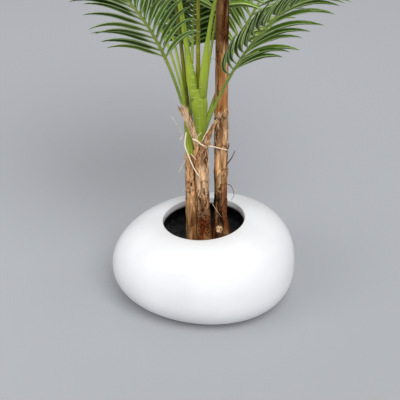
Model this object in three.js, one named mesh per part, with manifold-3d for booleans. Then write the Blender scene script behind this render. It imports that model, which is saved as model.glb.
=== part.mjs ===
// Potted areca palm: an artificial plant of three stems in a wide pebble-shaped pot.
// Millimetres, +Z up. The origin lies on the flat underside of the pot, and the front of the
// plant faces -Y. Fronds are blades cut to the rib between their leaflets.

import * as THREE from 'three';
import { mergeVertices } from 'three/addons/utils/BufferGeometryUtils.js';
import Module from 'manifold-3d';

const wasm = await Module();
wasm.setup();
const { Manifold, Mesh } = wasm;

// Clearances
const GAP = 0.3; // between neighbouring pieces
const LEAF_GAP = 0.8; // between leaflets of two fronds

// Pot: a squashed egg in plan, with a tilted round rim and a turned-in collar
const POT_HALF_WIDTH = 250;
const POT_HALF_DEPTH = 209;
const POT_EGG = 0.117; // how much fuller the +X end is
const POT_TURN = rad(5.5);
const POT_BELLY_Z = 113;
const RIM_RADIUS = 112;
const RIM_Z = 248;
const RIM_SLOPE = 0.061; // rise of the rim towards +X
const FOOT_HALF_WIDTH = 110;
const FOOT_HALF_DEPTH = 92;
const FOOT_SHIFT = 10;
const SHOULDER_POWER = 2.15;
const HIP_POWER = 2.35;
const END_POWER = 0.15; // the +X end is squarer than the other
const COLLAR_DEPTH = 20;
const COLLAR_LIP = 3; // how far the lip rounds over
const POT_FLOOR_Z = 9;
const POT_WALL = 12; // measured level
const POT_HEEL_WALL = 22; // where the wall turns in to the floor
const POT_SEGMENTS = 32;
const HIP_ROWS = 4;
const SHOULDER_ROWS = 6;
const HEEL_Z = 18;
const HOLLOW_HEIGHTS = [HEEL_Z, 45, 80, POT_BELLY_Z, 145, 180, 205];
const SURFACE_SEARCH_STEPS = 24;

// Soil
const SOIL_Z = 165;
const SOIL_INSET = 0.6; // level distance to the pot's facets
const SOIL_CROWN = 1.5; // the soil's edge stands in from the wall

// Stems: bark-covered trunks, then smooth green shafts that the fronds leave
const TRUNK_SIDES = 12;
const TRUNK_ROWS = 12;
const SHAFT_ROWS = 6;
const STEMS = {
  left: {
    foot: [-31.5, 8], bark: [-34, 8, 443], tip: [-41, 12, 565],
    flare: 17, radius: 15, shaftFoot: [13.5, 13.5], shaftTip: [11, 10.5],
  },
  middle: {
    foot: [2, -10], bark: [-7, -10, 476], tip: [-13, -10, 618],
    flare: 19.5, radius: 16.8, shaftFoot: [12.5, 12], shaftTip: [22, 8],
  },
  tall: {
    foot: [45, 8], bark: [41, 8, 985], tip: [40, 8, 1112],
    flare: 25, radius: 17, shaftFoot: [14.5, 14.5], shaftTip: [12, 12],
  },
};
const FLARE_HEIGHT = 90;
const TRUNK_TAPER = 0.87; // radius at the bark's top over the radius at the foot
const RING_PITCH = 46; // leaf scars on the bark
const RING_SWELL = 0.5;

// Husks: dry sheaths that peel off the middle trunk's top
const HUSK_THICK = 3;
const HUSK_ROWS = 5;
const HUSKS = {
  husk_left: { from: [-17, -22, 464], bend: [-28, -37, 532], to: [-52, -58, 596], widths: [13, 20] },
  husk_right: { from: [4, -22, 464], bend: [2, -47, 502], to: [29, -44, 549], widths: [20, 6] },
};

// Fronds
const CURVE_STEPS = 60;
const BEND_POWER = 1.7; // the arch tightens towards the tip
const STALK_SIDES = 3;
const STALK_ROWS = 10;
const STALK_FULLNESS = 1.2; // a three-sided stalk is drawn larger to keep its section
const RIB_RADIUS = 4; // at the first leaflets
const RIB_TIP_RADIUS = 1.3;
const LEAFLET_PAIRS = 12;
const LEAFLET_WIDTH = 27;
const LEAFLET_THICK = 2.4;
const LEAFLET_STEPS = 8;
const WIDEST_STEP = 3; // of LEAFLET_STEPS
const LEAFLET_STAGGER = 0.18; // the two sides don't stand quite opposite
const FALL_RATE = 1.6; // how much of droop and curl a leaflet takes up by its tip
const FULL_FROM = 0.22; // of the blade
const FULL_TO = 0.35;
const TIP_SHORTENING = 0.62;
const LEAFLET_CUTS = [1, 0.8, 0.62, 0.45]; // shortened where the full length would touch

// Each frond leaves its stem's axis at height z towards the compass heading (0 is +X, 90 is
// +Y), leans from the vertical, and bends further by the end of its length. The skews are how
// much one row of leaflets spreads and droops above the mean of both, and the other below it.
const FROND = {
  shift: [0, 0], sweep: 0, petiole: 260, blade: 480, foot: 6.5, neck: 4.6,
  roll: 0, twist: 0, droop: 0.9, droopSkew: 0, curl: 0.4, rise: 10, spread: 50,
  spreadSkew: 0, closing: 24, leaflet: 175, firstShare: 0.72, bareRight: 0,
};
const FRONDS = {
  frond_middle_1: { stem: 'middle', z: 588, shift: [-11.5, 0], heading: 127, lean: 13.4,
    bend: 40, petiole: 300, foot: 11, neck: 4.2 },
  frond_middle_2: { stem: 'middle', z: 588, shift: [6.5, 0], heading: -40, lean: 4.7, bend: 78,
    petiole: 370, blade: 450, foot: 11, neck: 5 },
  frond_middle_3: { stem: 'middle', z: 478, heading: -70, lean: 32.7, bend: 27.2, sweep: 20.4,
    petiole: 267, blade: 470, foot: 5, neck: 3.4, roll: 2, twist: -22.6, droop: 1.09,
    droopSkew: -1.4, curl: 2.95, rise: -7, spread: 29.7, spreadSkew: 18.9, closing: -20,
    leaflet: 162, firstShare: 0.94, bareRight: 0.06 },
  frond_middle_4: { stem: 'middle', z: 560, shift: [-4, 8], heading: 90, lean: 6.2, bend: 49,
    petiole: 290, foot: 7.5, neck: 5.5 },
  frond_middle_5: { stem: 'middle', z: 540, shift: [-8, 6], heading: 128, lean: 10, bend: 66,
    sweep: -22, petiole: 270, foot: 5.5, neck: 4 },
  frond_middle_6: { stem: 'middle', z: 545, shift: [8, 6], heading: 62, lean: 11.5, bend: 35,
    sweep: -30, petiole: 250, foot: 5, neck: 2.8, spread: 66, droop: 1.7, rise: 0 },
  frond_middle_7: { stem: 'middle', z: 488, heading: 42, lean: 25, bend: 62, petiole: 235,
    spread: 58, droop: 1.3 },
  frond_left_1: { stem: 'left', z: 500, heading: 258, lean: 33.6, bend: 33.3, sweep: -15.3,
    petiole: 302, blade: 500, foot: 5, neck: 3.6, roll: -22, droop: 1.09, curl: 0.31,
    rise: 7.3, spread: 40, closing: 30, leaflet: 157, firstShare: 0.95 },
  frond_left_2: { stem: 'left', z: 540, heading: 116, lean: 10.8, bend: 46, petiole: 280,
    neck: 4.8 },
  frond_left_3: { stem: 'left', z: 520, heading: 140, lean: 9.5, bend: 53, sweep: 34,
    petiole: 270, foot: 5, neck: 3.4 },
  frond_left_4: { stem: 'left', z: 515, heading: 201, lean: 10.1, bend: 73, petiole: 260,
    foot: 5, neck: 3.4 },
  frond_left_5: { stem: 'left', z: 480, heading: 86, lean: 24, bend: 52, petiole: 225,
    spread: 58, droop: 2.3, rise: -6, leaflet: 155 },
};

// The tall stem's crown is a spiral: old fronds low and spread, the last one a short spear
const TALL_CROWN = {
  count: 10, firstHeading: 18, turn: 137.5, lowZ: 1000, highZ: 1086,
  lowLean: 38, highLean: 5, lowBend: 62, highBend: 22, petiole: 165, blade: 500,
  spearBlade: 400, sweep: 16, roll: 10,
};

const COLOURS = {
  pot: 0xf2f3f5, soil: 0x17130f, bark: 0x8a6038, shaft: 0x7f9a2e, husk: 0xb08a5c,
  frond: 0x35552a,
};

function rad(degrees) {
  return (degrees * Math.PI) / 180;
}

function mix(a, b, t) {
  return a + (b - a) * t;
}

function smooth(t) {
  const c = Math.min(1, Math.max(0, t));
  return c * c * (3 - 2 * c);
}

function vec(x, y, z) {
  return new THREE.Vector3(x, y, z);
}

// A closed geometry becomes a solid once its shared vertices are merged.
function solidOf(geometry) {
  const bare = geometry.clone();
  bare.deleteAttribute('normal');
  bare.deleteAttribute('uv');
  const merged = mergeVertices(bare, 1e-4);
  const index = merged.index.array;
  const triangles = [];
  for (let i = 0; i < index.length; i += 3) {
    const [a, b, c] = [index[i], index[i + 1], index[i + 2]];
    if (a !== b && b !== c && c !== a) triangles.push(a, b, c);
  }
  return new Manifold(new Mesh({
    numProp: 3,
    vertProperties: new Float32Array(merged.attributes.position.array),
    triVerts: new Uint32Array(triangles),
  }));
}

function geometryOf(solid) {
  const { vertProperties, triVerts } = solid.getMesh();
  const geometry = new THREE.BufferGeometry();
  geometry.setAttribute('position', new THREE.BufferAttribute(vertProperties, 3));
  geometry.setIndex(new THREE.BufferAttribute(triVerts, 1));
  geometry.computeVertexNormals();
  return geometry;
}

function largestPiece(solid) {
  const pieces = solid.decompose();
  return pieces.reduce((best, piece) => (piece.volume() > best.volume() ? piece : best));
}

function placeVertices(geometry, place) {
  const position = geometry.attributes.position;
  const vertex = new THREE.Vector3();
  for (let i = 0; i < position.count; i += 1) {
    vertex.fromBufferAttribute(position, i);
    const { x, y, z } = place(vertex, i);
    position.setXYZ(i, x, y, z);
  }
  return geometry;
}

// Pot surface: rings are named by how far they lie between foot, belly and rim.
function bellyPoint(angle) {
  const across = POT_HALF_WIDTH * Math.cos(angle);
  const deep = POT_HALF_DEPTH * Math.sin(angle) * (1 + POT_EGG * Math.cos(angle));
  return new THREE.Vector2(across, deep).rotateAround(new THREE.Vector2(), POT_TURN);
}

function rimZ(x) {
  return RIM_Z + RIM_SLOPE * x;
}

function shoulderPoint(angle, t) {
  const power = 2 / (SHOULDER_POWER + END_POWER * Math.cos(angle));
  const rim = new THREE.Vector2(RIM_RADIUS * Math.cos(angle), RIM_RADIUS * Math.sin(angle));
  const flat = bellyPoint(angle).lerp(rim, 1 - Math.cos(t) ** power);
  return vec(flat.x, flat.y, mix(POT_BELLY_Z, rimZ(rim.x), Math.sin(t) ** power));
}

function hipPoint(angle, t) {
  const power = 2 / (HIP_POWER + END_POWER * Math.cos(angle));
  const foot = new THREE.Vector2(
    FOOT_SHIFT + FOOT_HALF_WIDTH * Math.cos(angle), FOOT_HALF_DEPTH * Math.sin(angle));
  const flat = bellyPoint(angle).lerp(foot, 1 - Math.cos(t) ** power);
  return vec(flat.x, flat.y, POT_BELLY_Z * (1 - Math.sin(t) ** power));
}

// The outer surface at height z is found by halving the stretch from the belly on.
function outerPoint(angle, z) {
  const surface = z < POT_BELLY_Z ? hipPoint : shoulderPoint;
  const rise = Math.abs(z - POT_BELLY_Z);
  let [low, high] = [0, Math.PI / 2];
  for (let i = 0; i < SURFACE_SEARCH_STEPS; i += 1) {
    const middle = (low + high) / 2;
    if (Math.abs(surface(angle, middle).z - POT_BELLY_Z) < rise) {
      low = middle;
    } else {
      high = middle;
    }
  }
  return surface(angle, low);
}

// The hollow's wall stands in from the outer surface, and more so at the heel.
function hollowPoint(angle, z, clear = 0) {
  const out = outerPoint(angle, z);
  const wall = (z > HEEL_Z ? POT_WALL : POT_HEEL_WALL) + clear;
  const share = 1 - wall / Math.hypot(out.x, out.y);
  return vec(out.x * share, out.y * share, z);
}

function hollowFloorPoint(angle, clear = 0) {
  const heel = hollowPoint(angle, HEEL_Z, clear);
  return heel.multiplyScalar(1 - POT_WALL / heel.length()).setZ(POT_FLOOR_Z);
}

// Rings of a closed surface, from the pole at its bottom to the pole at its top or inside.
function ringSolid(rings, startPole, endPole) {
  const profile = [new THREE.Vector2(0, 0)];
  rings.forEach((ring, i) => profile.push(new THREE.Vector2(1, i + 1)));
  profile.push(new THREE.Vector2(0, rings.length + 1));
  const lathe = new THREE.LatheGeometry(profile, POT_SEGMENTS);
  const rows = profile.length;
  return solidOf(placeVertices(lathe, (vertex, i) => {
    const row = i % rows;
    if (row === 0) return startPole;
    if (row === rows - 1) return endPole;
    const turn = Math.floor(i / rows) % POT_SEGMENTS;
    return rings[row - 1]((Math.PI * 2 * turn) / POT_SEGMENTS);
  }));
}

function makePot() {
  const rings = [];
  for (let i = HIP_ROWS; i >= 1; i -= 1) {
    rings.push((angle) => hipPoint(angle, (Math.PI / 2) * (i / HIP_ROWS)));
  }
  for (let i = 0; i <= SHOULDER_ROWS; i += 1) {
    rings.push((angle) => shoulderPoint(angle, (Math.PI / 2) * (i / SHOULDER_ROWS)));
  }
  const collarRadius = RIM_RADIUS - COLLAR_LIP;
  for (const drop of [COLLAR_LIP, COLLAR_DEPTH]) {
    rings.push((angle) => {
      const rise = rimZ(RIM_RADIUS * Math.cos(angle)) - drop;
      return vec(collarRadius * Math.cos(angle), collarRadius * Math.sin(angle), rise);
    });
  }
  for (const z of [...HOLLOW_HEIGHTS].reverse()) rings.push((angle) => hollowPoint(angle, z));
  rings.push((angle) => hollowFloorPoint(angle));
  return ringSolid(rings, vec(FOOT_SHIFT, 0, 0), vec(FOOT_SHIFT, 0, POT_FLOOR_Z));
}

function makeSoil() {
  const bottomZ = POT_FLOOR_Z + GAP;
  const rings = [(angle) => hollowFloorPoint(angle, SOIL_INSET).setZ(bottomZ)];
  for (const z of HOLLOW_HEIGHTS.filter((height) => height < SOIL_Z)) {
    rings.push((angle) => hollowPoint(angle, z, SOIL_INSET));
  }
  rings.push((angle) => hollowPoint(angle, SOIL_Z, SOIL_INSET + SOIL_CROWN));
  return ringSolid(rings, vec(FOOT_SHIFT, 0, bottomZ), vec(0, 0, SOIL_Z));
}

// Stem axis: straight from the soil to the bark's top, then on to the shaft's tip.
function stemAxis(stem, z) {
  const [footX, footY] = stem.foot;
  const [barkX, barkY, barkZ] = stem.bark;
  const [tipX, tipY, tipZ] = stem.tip;
  if (z <= barkZ) {
    const t = (z - SOIL_Z) / (barkZ - SOIL_Z);
    return vec(mix(footX, barkX, t), mix(footY, barkY, t), z);
  }
  const t = (z - barkZ) / (tipZ - barkZ);
  return vec(mix(barkX, tipX, t), mix(barkY, tipY, t), z);
}

// An upright limb with level ends: the cylinder's rows go up the stem's axis.
function uprightLimb(stem, fromZ, toZ, rows, halfSizes) {
  const cylinder = new THREE.CylinderGeometry(1, 1, 1, TRUNK_SIDES, rows);
  return solidOf(placeVertices(cylinder, ({ x, y, z }) => {
    const height = mix(fromZ, toZ, y + 0.5);
    const centre = stemAxis(stem, height);
    const [halfX, halfY] = halfSizes(height);
    return vec(centre.x + x * halfX, centre.y - z * halfY, height);
  }));
}

function makeTrunk(stem, extra = 0) {
  const top = stem.bark[2];
  const radiusAt = (z) => {
    const t = (z - SOIL_Z) / (top - SOIL_Z);
    const flare = (stem.flare - stem.radius) * (1 - smooth((z - SOIL_Z) / FLARE_HEIGHT));
    const ring = RING_SWELL * Math.cos((2 * Math.PI * (z - SOIL_Z)) / RING_PITCH);
    const radius = stem.radius * mix(1, TRUNK_TAPER, t) + flare + ring + extra;
    return [radius, radius];
  };
  return uprightLimb(stem, SOIL_Z + GAP - extra, top + extra, TRUNK_ROWS, radiusAt);
}

function makeShaft(stem, extra = 0) {
  const [from, to] = [stem.bark[2] + GAP, stem.tip[2]];
  const halfSizes = (z) => {
    const t = smooth((z - from) / (to - from));
    return [0, 1].map((i) => mix(stem.shaftFoot[i], stem.shaftTip[i], t) + extra);
  };
  return uprightLimb(stem, from - extra, to + extra, SHAFT_ROWS, halfSizes);
}

function makeHusk({ from, bend, to, widths }) {
  const curve = new THREE.QuadraticBezierCurve3(vec(...from), vec(...bend), vec(...to));
  const sheet = new THREE.BoxGeometry(1, 1, HUSK_THICK, 2, HUSK_ROWS, 1);
  return solidOf(placeVertices(sheet, ({ x, y, z }) => {
    const t = y + 0.5;
    const along = curve.getTangent(t);
    const out = vec(0, -1, 0).addScaledVector(along, along.y).normalize();
    const across = new THREE.Vector3().crossVectors(along, out);
    const width = mix(widths[0], widths[1], t);
    const curl = x * x * width;
    return curve.getPoint(t)
      .addScaledVector(across, x * width)
      .addScaledVector(out, z - curl);
  }));
}

// Frond curve: a list of points and, at any share of the length, a frame of the blade.
function frondCurve(frond) {
  const length = frond.petiole + frond.blade;
  const start = stemAxis(STEMS[frond.stem], frond.z);
  start.x += frond.shift[0];
  start.y += frond.shift[1];
  const points = [start];
  for (let i = 0; i < CURVE_STEPS; i += 1) {
    const s = (i + 0.5) / CURVE_STEPS;
    const lean = rad(frond.lean + frond.bend * s ** BEND_POWER);
    const heading = rad(frond.heading + frond.sweep * s);
    const way = vec(
      Math.sin(lean) * Math.cos(heading), Math.sin(lean) * Math.sin(heading), Math.cos(lean));
    points.push(points[i].clone().addScaledVector(way, length / CURVE_STEPS));
  }
  return points;
}

function frondFrame(frond, points, s) {
  const length = frond.petiole + frond.blade;
  const u = Math.max(0, (s * length - frond.petiole) / frond.blade);
  const at = Math.min(CURVE_STEPS - 1, Math.floor(s * CURVE_STEPS));
  const point = points[at].clone().lerp(points[at + 1], s * CURVE_STEPS - at);
  const along = points[Math.min(CURVE_STEPS, at + 2)].clone()
    .sub(points[Math.max(0, at - 1)]).normalize();
  const level = new THREE.Vector3().crossVectors(along, vec(0, 0, 1)).normalize();
  const upright = new THREE.Vector3().crossVectors(level, along);
  const roll = rad(frond.roll + frond.twist * u);
  const side = level.clone().multiplyScalar(Math.cos(roll))
    .addScaledVector(upright, Math.sin(roll));
  const up = upright.clone().multiplyScalar(Math.cos(roll))
    .addScaledVector(level, -Math.sin(roll));
  return { point, along, side, up };
}

// The stalk thins from its foot on the shaft to its neck, then as the rib out to the tip.
function stalkRadius(frond, s) {
  const neckAt = frond.petiole / (frond.petiole + frond.blade);
  if (s < neckAt) {
    const t = s / neckAt;
    return t < 0.5
      ? mix(frond.foot, frond.neck, smooth(t * 2))
      : mix(frond.neck, RIB_RADIUS, (t - 0.5) * 2);
  }
  return mix(RIB_RADIUS, RIB_TIP_RADIUS, (s - neckAt) / (1 - neckAt));
}

function makeStalk(frond, points, extra = 0) {
  const cylinder = new THREE.CylinderGeometry(1, 1, 1, STALK_SIDES, STALK_ROWS);
  return solidOf(placeVertices(cylinder, ({ x, y, z }) => {
    const s = y + 0.5;
    const { point, side, up } = frondFrame(frond, points, s);
    const radius = stalkRadius(frond, s) * STALK_FULLNESS + extra;
    return point.addScaledVector(side, x * radius).addScaledVector(up, z * radius);
  }));
}

// Leaflets are longest a fifth of the way out and shorten towards the tip.
function leafletLength(frond, u) {
  const root = mix(frond.firstShare, 1, Math.min(1, u / FULL_FROM));
  const tip = 1 - TIP_SHORTENING * Math.max(0, (u - FULL_TO) / (1 - FULL_TO)) ** 1.6;
  return frond.leaflet * root * tip;
}

// A leaflet leaves the rib at an angle that closes towards the tip, and droops as it goes out.
function leafletRoute(frond, points, u, hand) {
  const s = (frond.petiole + frond.blade * u) / (frond.petiole + frond.blade);
  const { point, along, side, up } = frondFrame(frond, points, s);
  const spread = rad(frond.spread + frond.spreadSkew * hand - frond.closing * u);
  const droop = frond.droop + frond.droopSkew * hand;
  const flat = along.clone().multiplyScalar(Math.cos(spread))
    .addScaledVector(side, hand * Math.sin(spread));
  const way = flat.multiplyScalar(Math.cos(rad(frond.rise)))
    .addScaledVector(up, Math.sin(rad(frond.rise)));
  const step = leafletLength(frond, u) / LEAFLET_STEPS;
  const route = [point.clone()];
  for (let j = 0; j < LEAFLET_STEPS; j += 1) {
    const share = (FALL_RATE * (j + 0.5)) / LEAFLET_STEPS ** 2;
    way.z -= droop * share;
    way.addScaledVector(along, frond.curl * share).normalize();
    route.push(route[j].clone().addScaledVector(way, step));
  }
  return { route, along };
}

function makeLeaflet({ route, along }, cut, extra = 0) {
  const end = Math.round(LEAFLET_STEPS * cut);
  const root = route[0].clone();
  const middle = route[Math.max(2, Math.round(WIDEST_STEP * cut))];
  const tip = route[end];
  const way = tip.clone().sub(root).normalize();
  const across = along.clone().addScaledVector(way, -along.dot(way)).normalize();
  const face = new THREE.Vector3().crossVectors(across, way);
  const halfWidth = (LEAFLET_WIDTH * (0.6 + 0.4 * cut)) / 2 + extra;
  const halfThick = LEAFLET_THICK / 2 + extra;
  return solidOf(placeVertices(new THREE.OctahedronGeometry(1), ({ x, y, z }) => {
    const centre = y > 0.5 ? tip : y < -0.5 ? root : middle;
    return centre.clone()
      .addScaledVector(way, Math.abs(y) > 0.5 ? Math.sign(y) * extra : 0)
      .addScaledVector(across, x * halfWidth)
      .addScaledVector(face, z * halfThick);
  }));
}

function boxesMeet(a, b) {
  return [0, 1, 2].every((i) => a.min[i] <= b.max[i] && b.min[i] <= a.max[i]);
}

function touches(solid, others) {
  const box = solid.boundingBox();
  return others.some((other) => boxesMeet(box, other.box) && !solid.intersect(other.solid).isEmpty());
}

function withBox(solid, owner) {
  return { solid, owner, box: solid.boundingBox() };
}

function tallFronds() {
  const { count } = TALL_CROWN;
  const fronds = {};
  for (let i = 0; i < count; i += 1) {
    const t = i / (count - 1);
    const spear = i === count - 1;
    fronds[`frond_tall_${i + 1}`] = {
      stem: 'tall',
      z: mix(TALL_CROWN.lowZ, TALL_CROWN.highZ, t),
      heading: TALL_CROWN.firstHeading + TALL_CROWN.turn * i,
      lean: mix(TALL_CROWN.lowLean, TALL_CROWN.highLean, t),
      bend: mix(TALL_CROWN.lowBend, TALL_CROWN.highBend, t * t),
      sweep: TALL_CROWN.sweep * (i % 2 ? 1 : -1),
      roll: TALL_CROWN.roll * (i % 3 - 1),
      petiole: TALL_CROWN.petiole,
      blade: spear ? TALL_CROWN.spearBlade : TALL_CROWN.blade,
    };
  }
  return fronds;
}

// Stalks first, each cut clear of the shafts and of the stalks before it, then leaflets, each
// of which is shortened or left out where it would touch another frond or a limb.
function makeFronds(limbs) {
  const fronds = Object.entries({ ...FRONDS, ...tallFronds() })
    .map(([name, spec]) => ({ name, ...FROND, ...spec }));
  const taken = [...limbs];
  for (const frond of fronds) {
    frond.points = frondCurve(frond);
    let stalk = makeStalk(frond, frond.points);
    const box = stalk.boundingBox();
    for (const other of taken) {
      if (boxesMeet(box, other.box)) stalk = stalk.subtract(other.solid);
    }
    frond.stalk = largestPiece(stalk);
    taken.push(withBox(makeStalk(frond, frond.points, GAP), frond.name));
  }
  for (const frond of fronds) {
    const parts = [frond.stalk];
    for (let i = 0; i < LEAFLET_PAIRS; i += 1) {
      for (const hand of [1, -1]) {
        const u = (i + 0.5 + hand * LEAFLET_STAGGER) / LEAFLET_PAIRS;
        if (hand < 0 && u < frond.bareRight) continue;
        const shape = leafletRoute(frond, frond.points, u, hand);
        const others = taken.filter((other) => other.owner !== frond.name);
        const fits = (share) => !touches(makeLeaflet(shape, share, LEAF_GAP), others);
        const cut = LEAFLET_CUTS.find(fits);
        if (cut === undefined) continue;
        const leaflet = makeLeaflet(shape, cut);
        parts.push(leaflet);
        taken.push(withBox(leaflet, frond.name));
      }
    }
    frond.solid = largestPiece(Manifold.union(parts));
  }
  return fronds;
}

function addPiece(group, name, solid, colour, roughness) {
  const material = new THREE.MeshStandardMaterial({ color: colour, roughness, metalness: 0 });
  const mesh = new THREE.Mesh(geometryOf(solid), material);
  mesh.name = name;
  group.add(mesh);
}

function buildPalm() {
  const palm = new THREE.Group();
  addPiece(palm, 'pot', makePot(), COLOURS.pot, 0.35);
  addPiece(palm, 'soil', makeSoil(), COLOURS.soil, 0.95);
  const limbs = [];
  for (const [name, stem] of Object.entries(STEMS)) {
    addPiece(palm, `trunk_${name}`, makeTrunk(stem), COLOURS.bark, 0.85);
    addPiece(palm, `shaft_${name}`, makeShaft(stem), COLOURS.shaft, 0.5);
    limbs.push(withBox(makeTrunk(stem, GAP), name), withBox(makeShaft(stem, GAP), name));
  }
  const fronds = makeFronds(limbs);
  const near = [...limbs, ...fronds.map((frond) => withBox(makeStalk(frond, frond.points, GAP)))];
  for (const [name, spec] of Object.entries(HUSKS)) {
    const husk = near.reduce((solid, other) => solid.subtract(other.solid), makeHusk(spec));
    addPiece(palm, name, largestPiece(husk), COLOURS.husk, 0.9);
  }
  for (const frond of fronds) addPiece(palm, frond.name, frond.solid, COLOURS.frond, 0.55);
  return palm;
}

const palm = buildPalm();

export default palm;
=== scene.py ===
"""Potted areca palm: finished surfaces and fine fronds, built around the part's fixed frame.

The plant is an artificial one: three bark-covered stems with green shafts, and feather fronds
of folded leaflets on wired ribs, in a low white pebble-shaped pot filled with dark soil.
Everything is in metres, +Z up, with the origin on the pot's flat underside.
"""

import logging
import math
import random
from dataclasses import dataclass, field
from enum import Enum
from typing import Callable, Sequence

import bmesh
import bpy
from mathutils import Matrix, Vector, noise


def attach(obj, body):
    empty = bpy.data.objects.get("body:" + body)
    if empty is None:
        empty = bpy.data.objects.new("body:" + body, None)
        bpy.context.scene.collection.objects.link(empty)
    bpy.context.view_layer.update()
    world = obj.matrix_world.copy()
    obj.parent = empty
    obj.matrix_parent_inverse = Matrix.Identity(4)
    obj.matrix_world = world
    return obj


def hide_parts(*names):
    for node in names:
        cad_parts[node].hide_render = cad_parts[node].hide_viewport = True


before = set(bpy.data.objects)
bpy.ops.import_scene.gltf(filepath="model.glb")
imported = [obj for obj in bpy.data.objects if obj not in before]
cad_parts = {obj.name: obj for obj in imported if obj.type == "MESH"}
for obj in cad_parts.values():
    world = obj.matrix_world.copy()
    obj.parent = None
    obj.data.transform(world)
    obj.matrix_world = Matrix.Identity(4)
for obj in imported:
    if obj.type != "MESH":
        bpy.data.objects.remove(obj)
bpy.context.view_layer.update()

log = logging.getLogger("palm")

SEED = 4127
SOIL_TOP = 0.165
CURVE_STEPS = 60
BEND_POWER = 1.7
TURN = 2 * math.pi

Colour = tuple[float, float, float]
Point = tuple[float, float, float]
Socket = bpy.types.NodeSocket


def mix(a: float, b: float, t: float) -> float:
    """Return the value a share t of the way from a to b."""
    return a + (b - a) * t


def smooth(t: float) -> float:
    """Return t eased in and out, held between 0 and 1."""
    t = min(1.0, max(0.0, t))
    return t * t * (3 - 2 * t)


def bump_at(t: float, centre: float, width: float) -> float:
    """Return a smooth hump of height 1 at centre, gone a width away."""
    return smooth(1 - abs(t - centre) / width)


def add_object(name: str, data: bpy.types.ID) -> bpy.types.Object:
    """Make an object and link it into the scene.

    Args:
        name: The object's name.
        data: Its mesh, light or camera.

    Returns:
        The object.
    """
    made = bpy.data.objects.new(name, data)
    bpy.context.scene.collection.objects.link(made)
    return made


@dataclass
class Station:
    """One cross-section of a swept limb."""

    centre: Vector
    side: Vector
    up: Vector
    half_width: float
    half_depth: float


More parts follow.
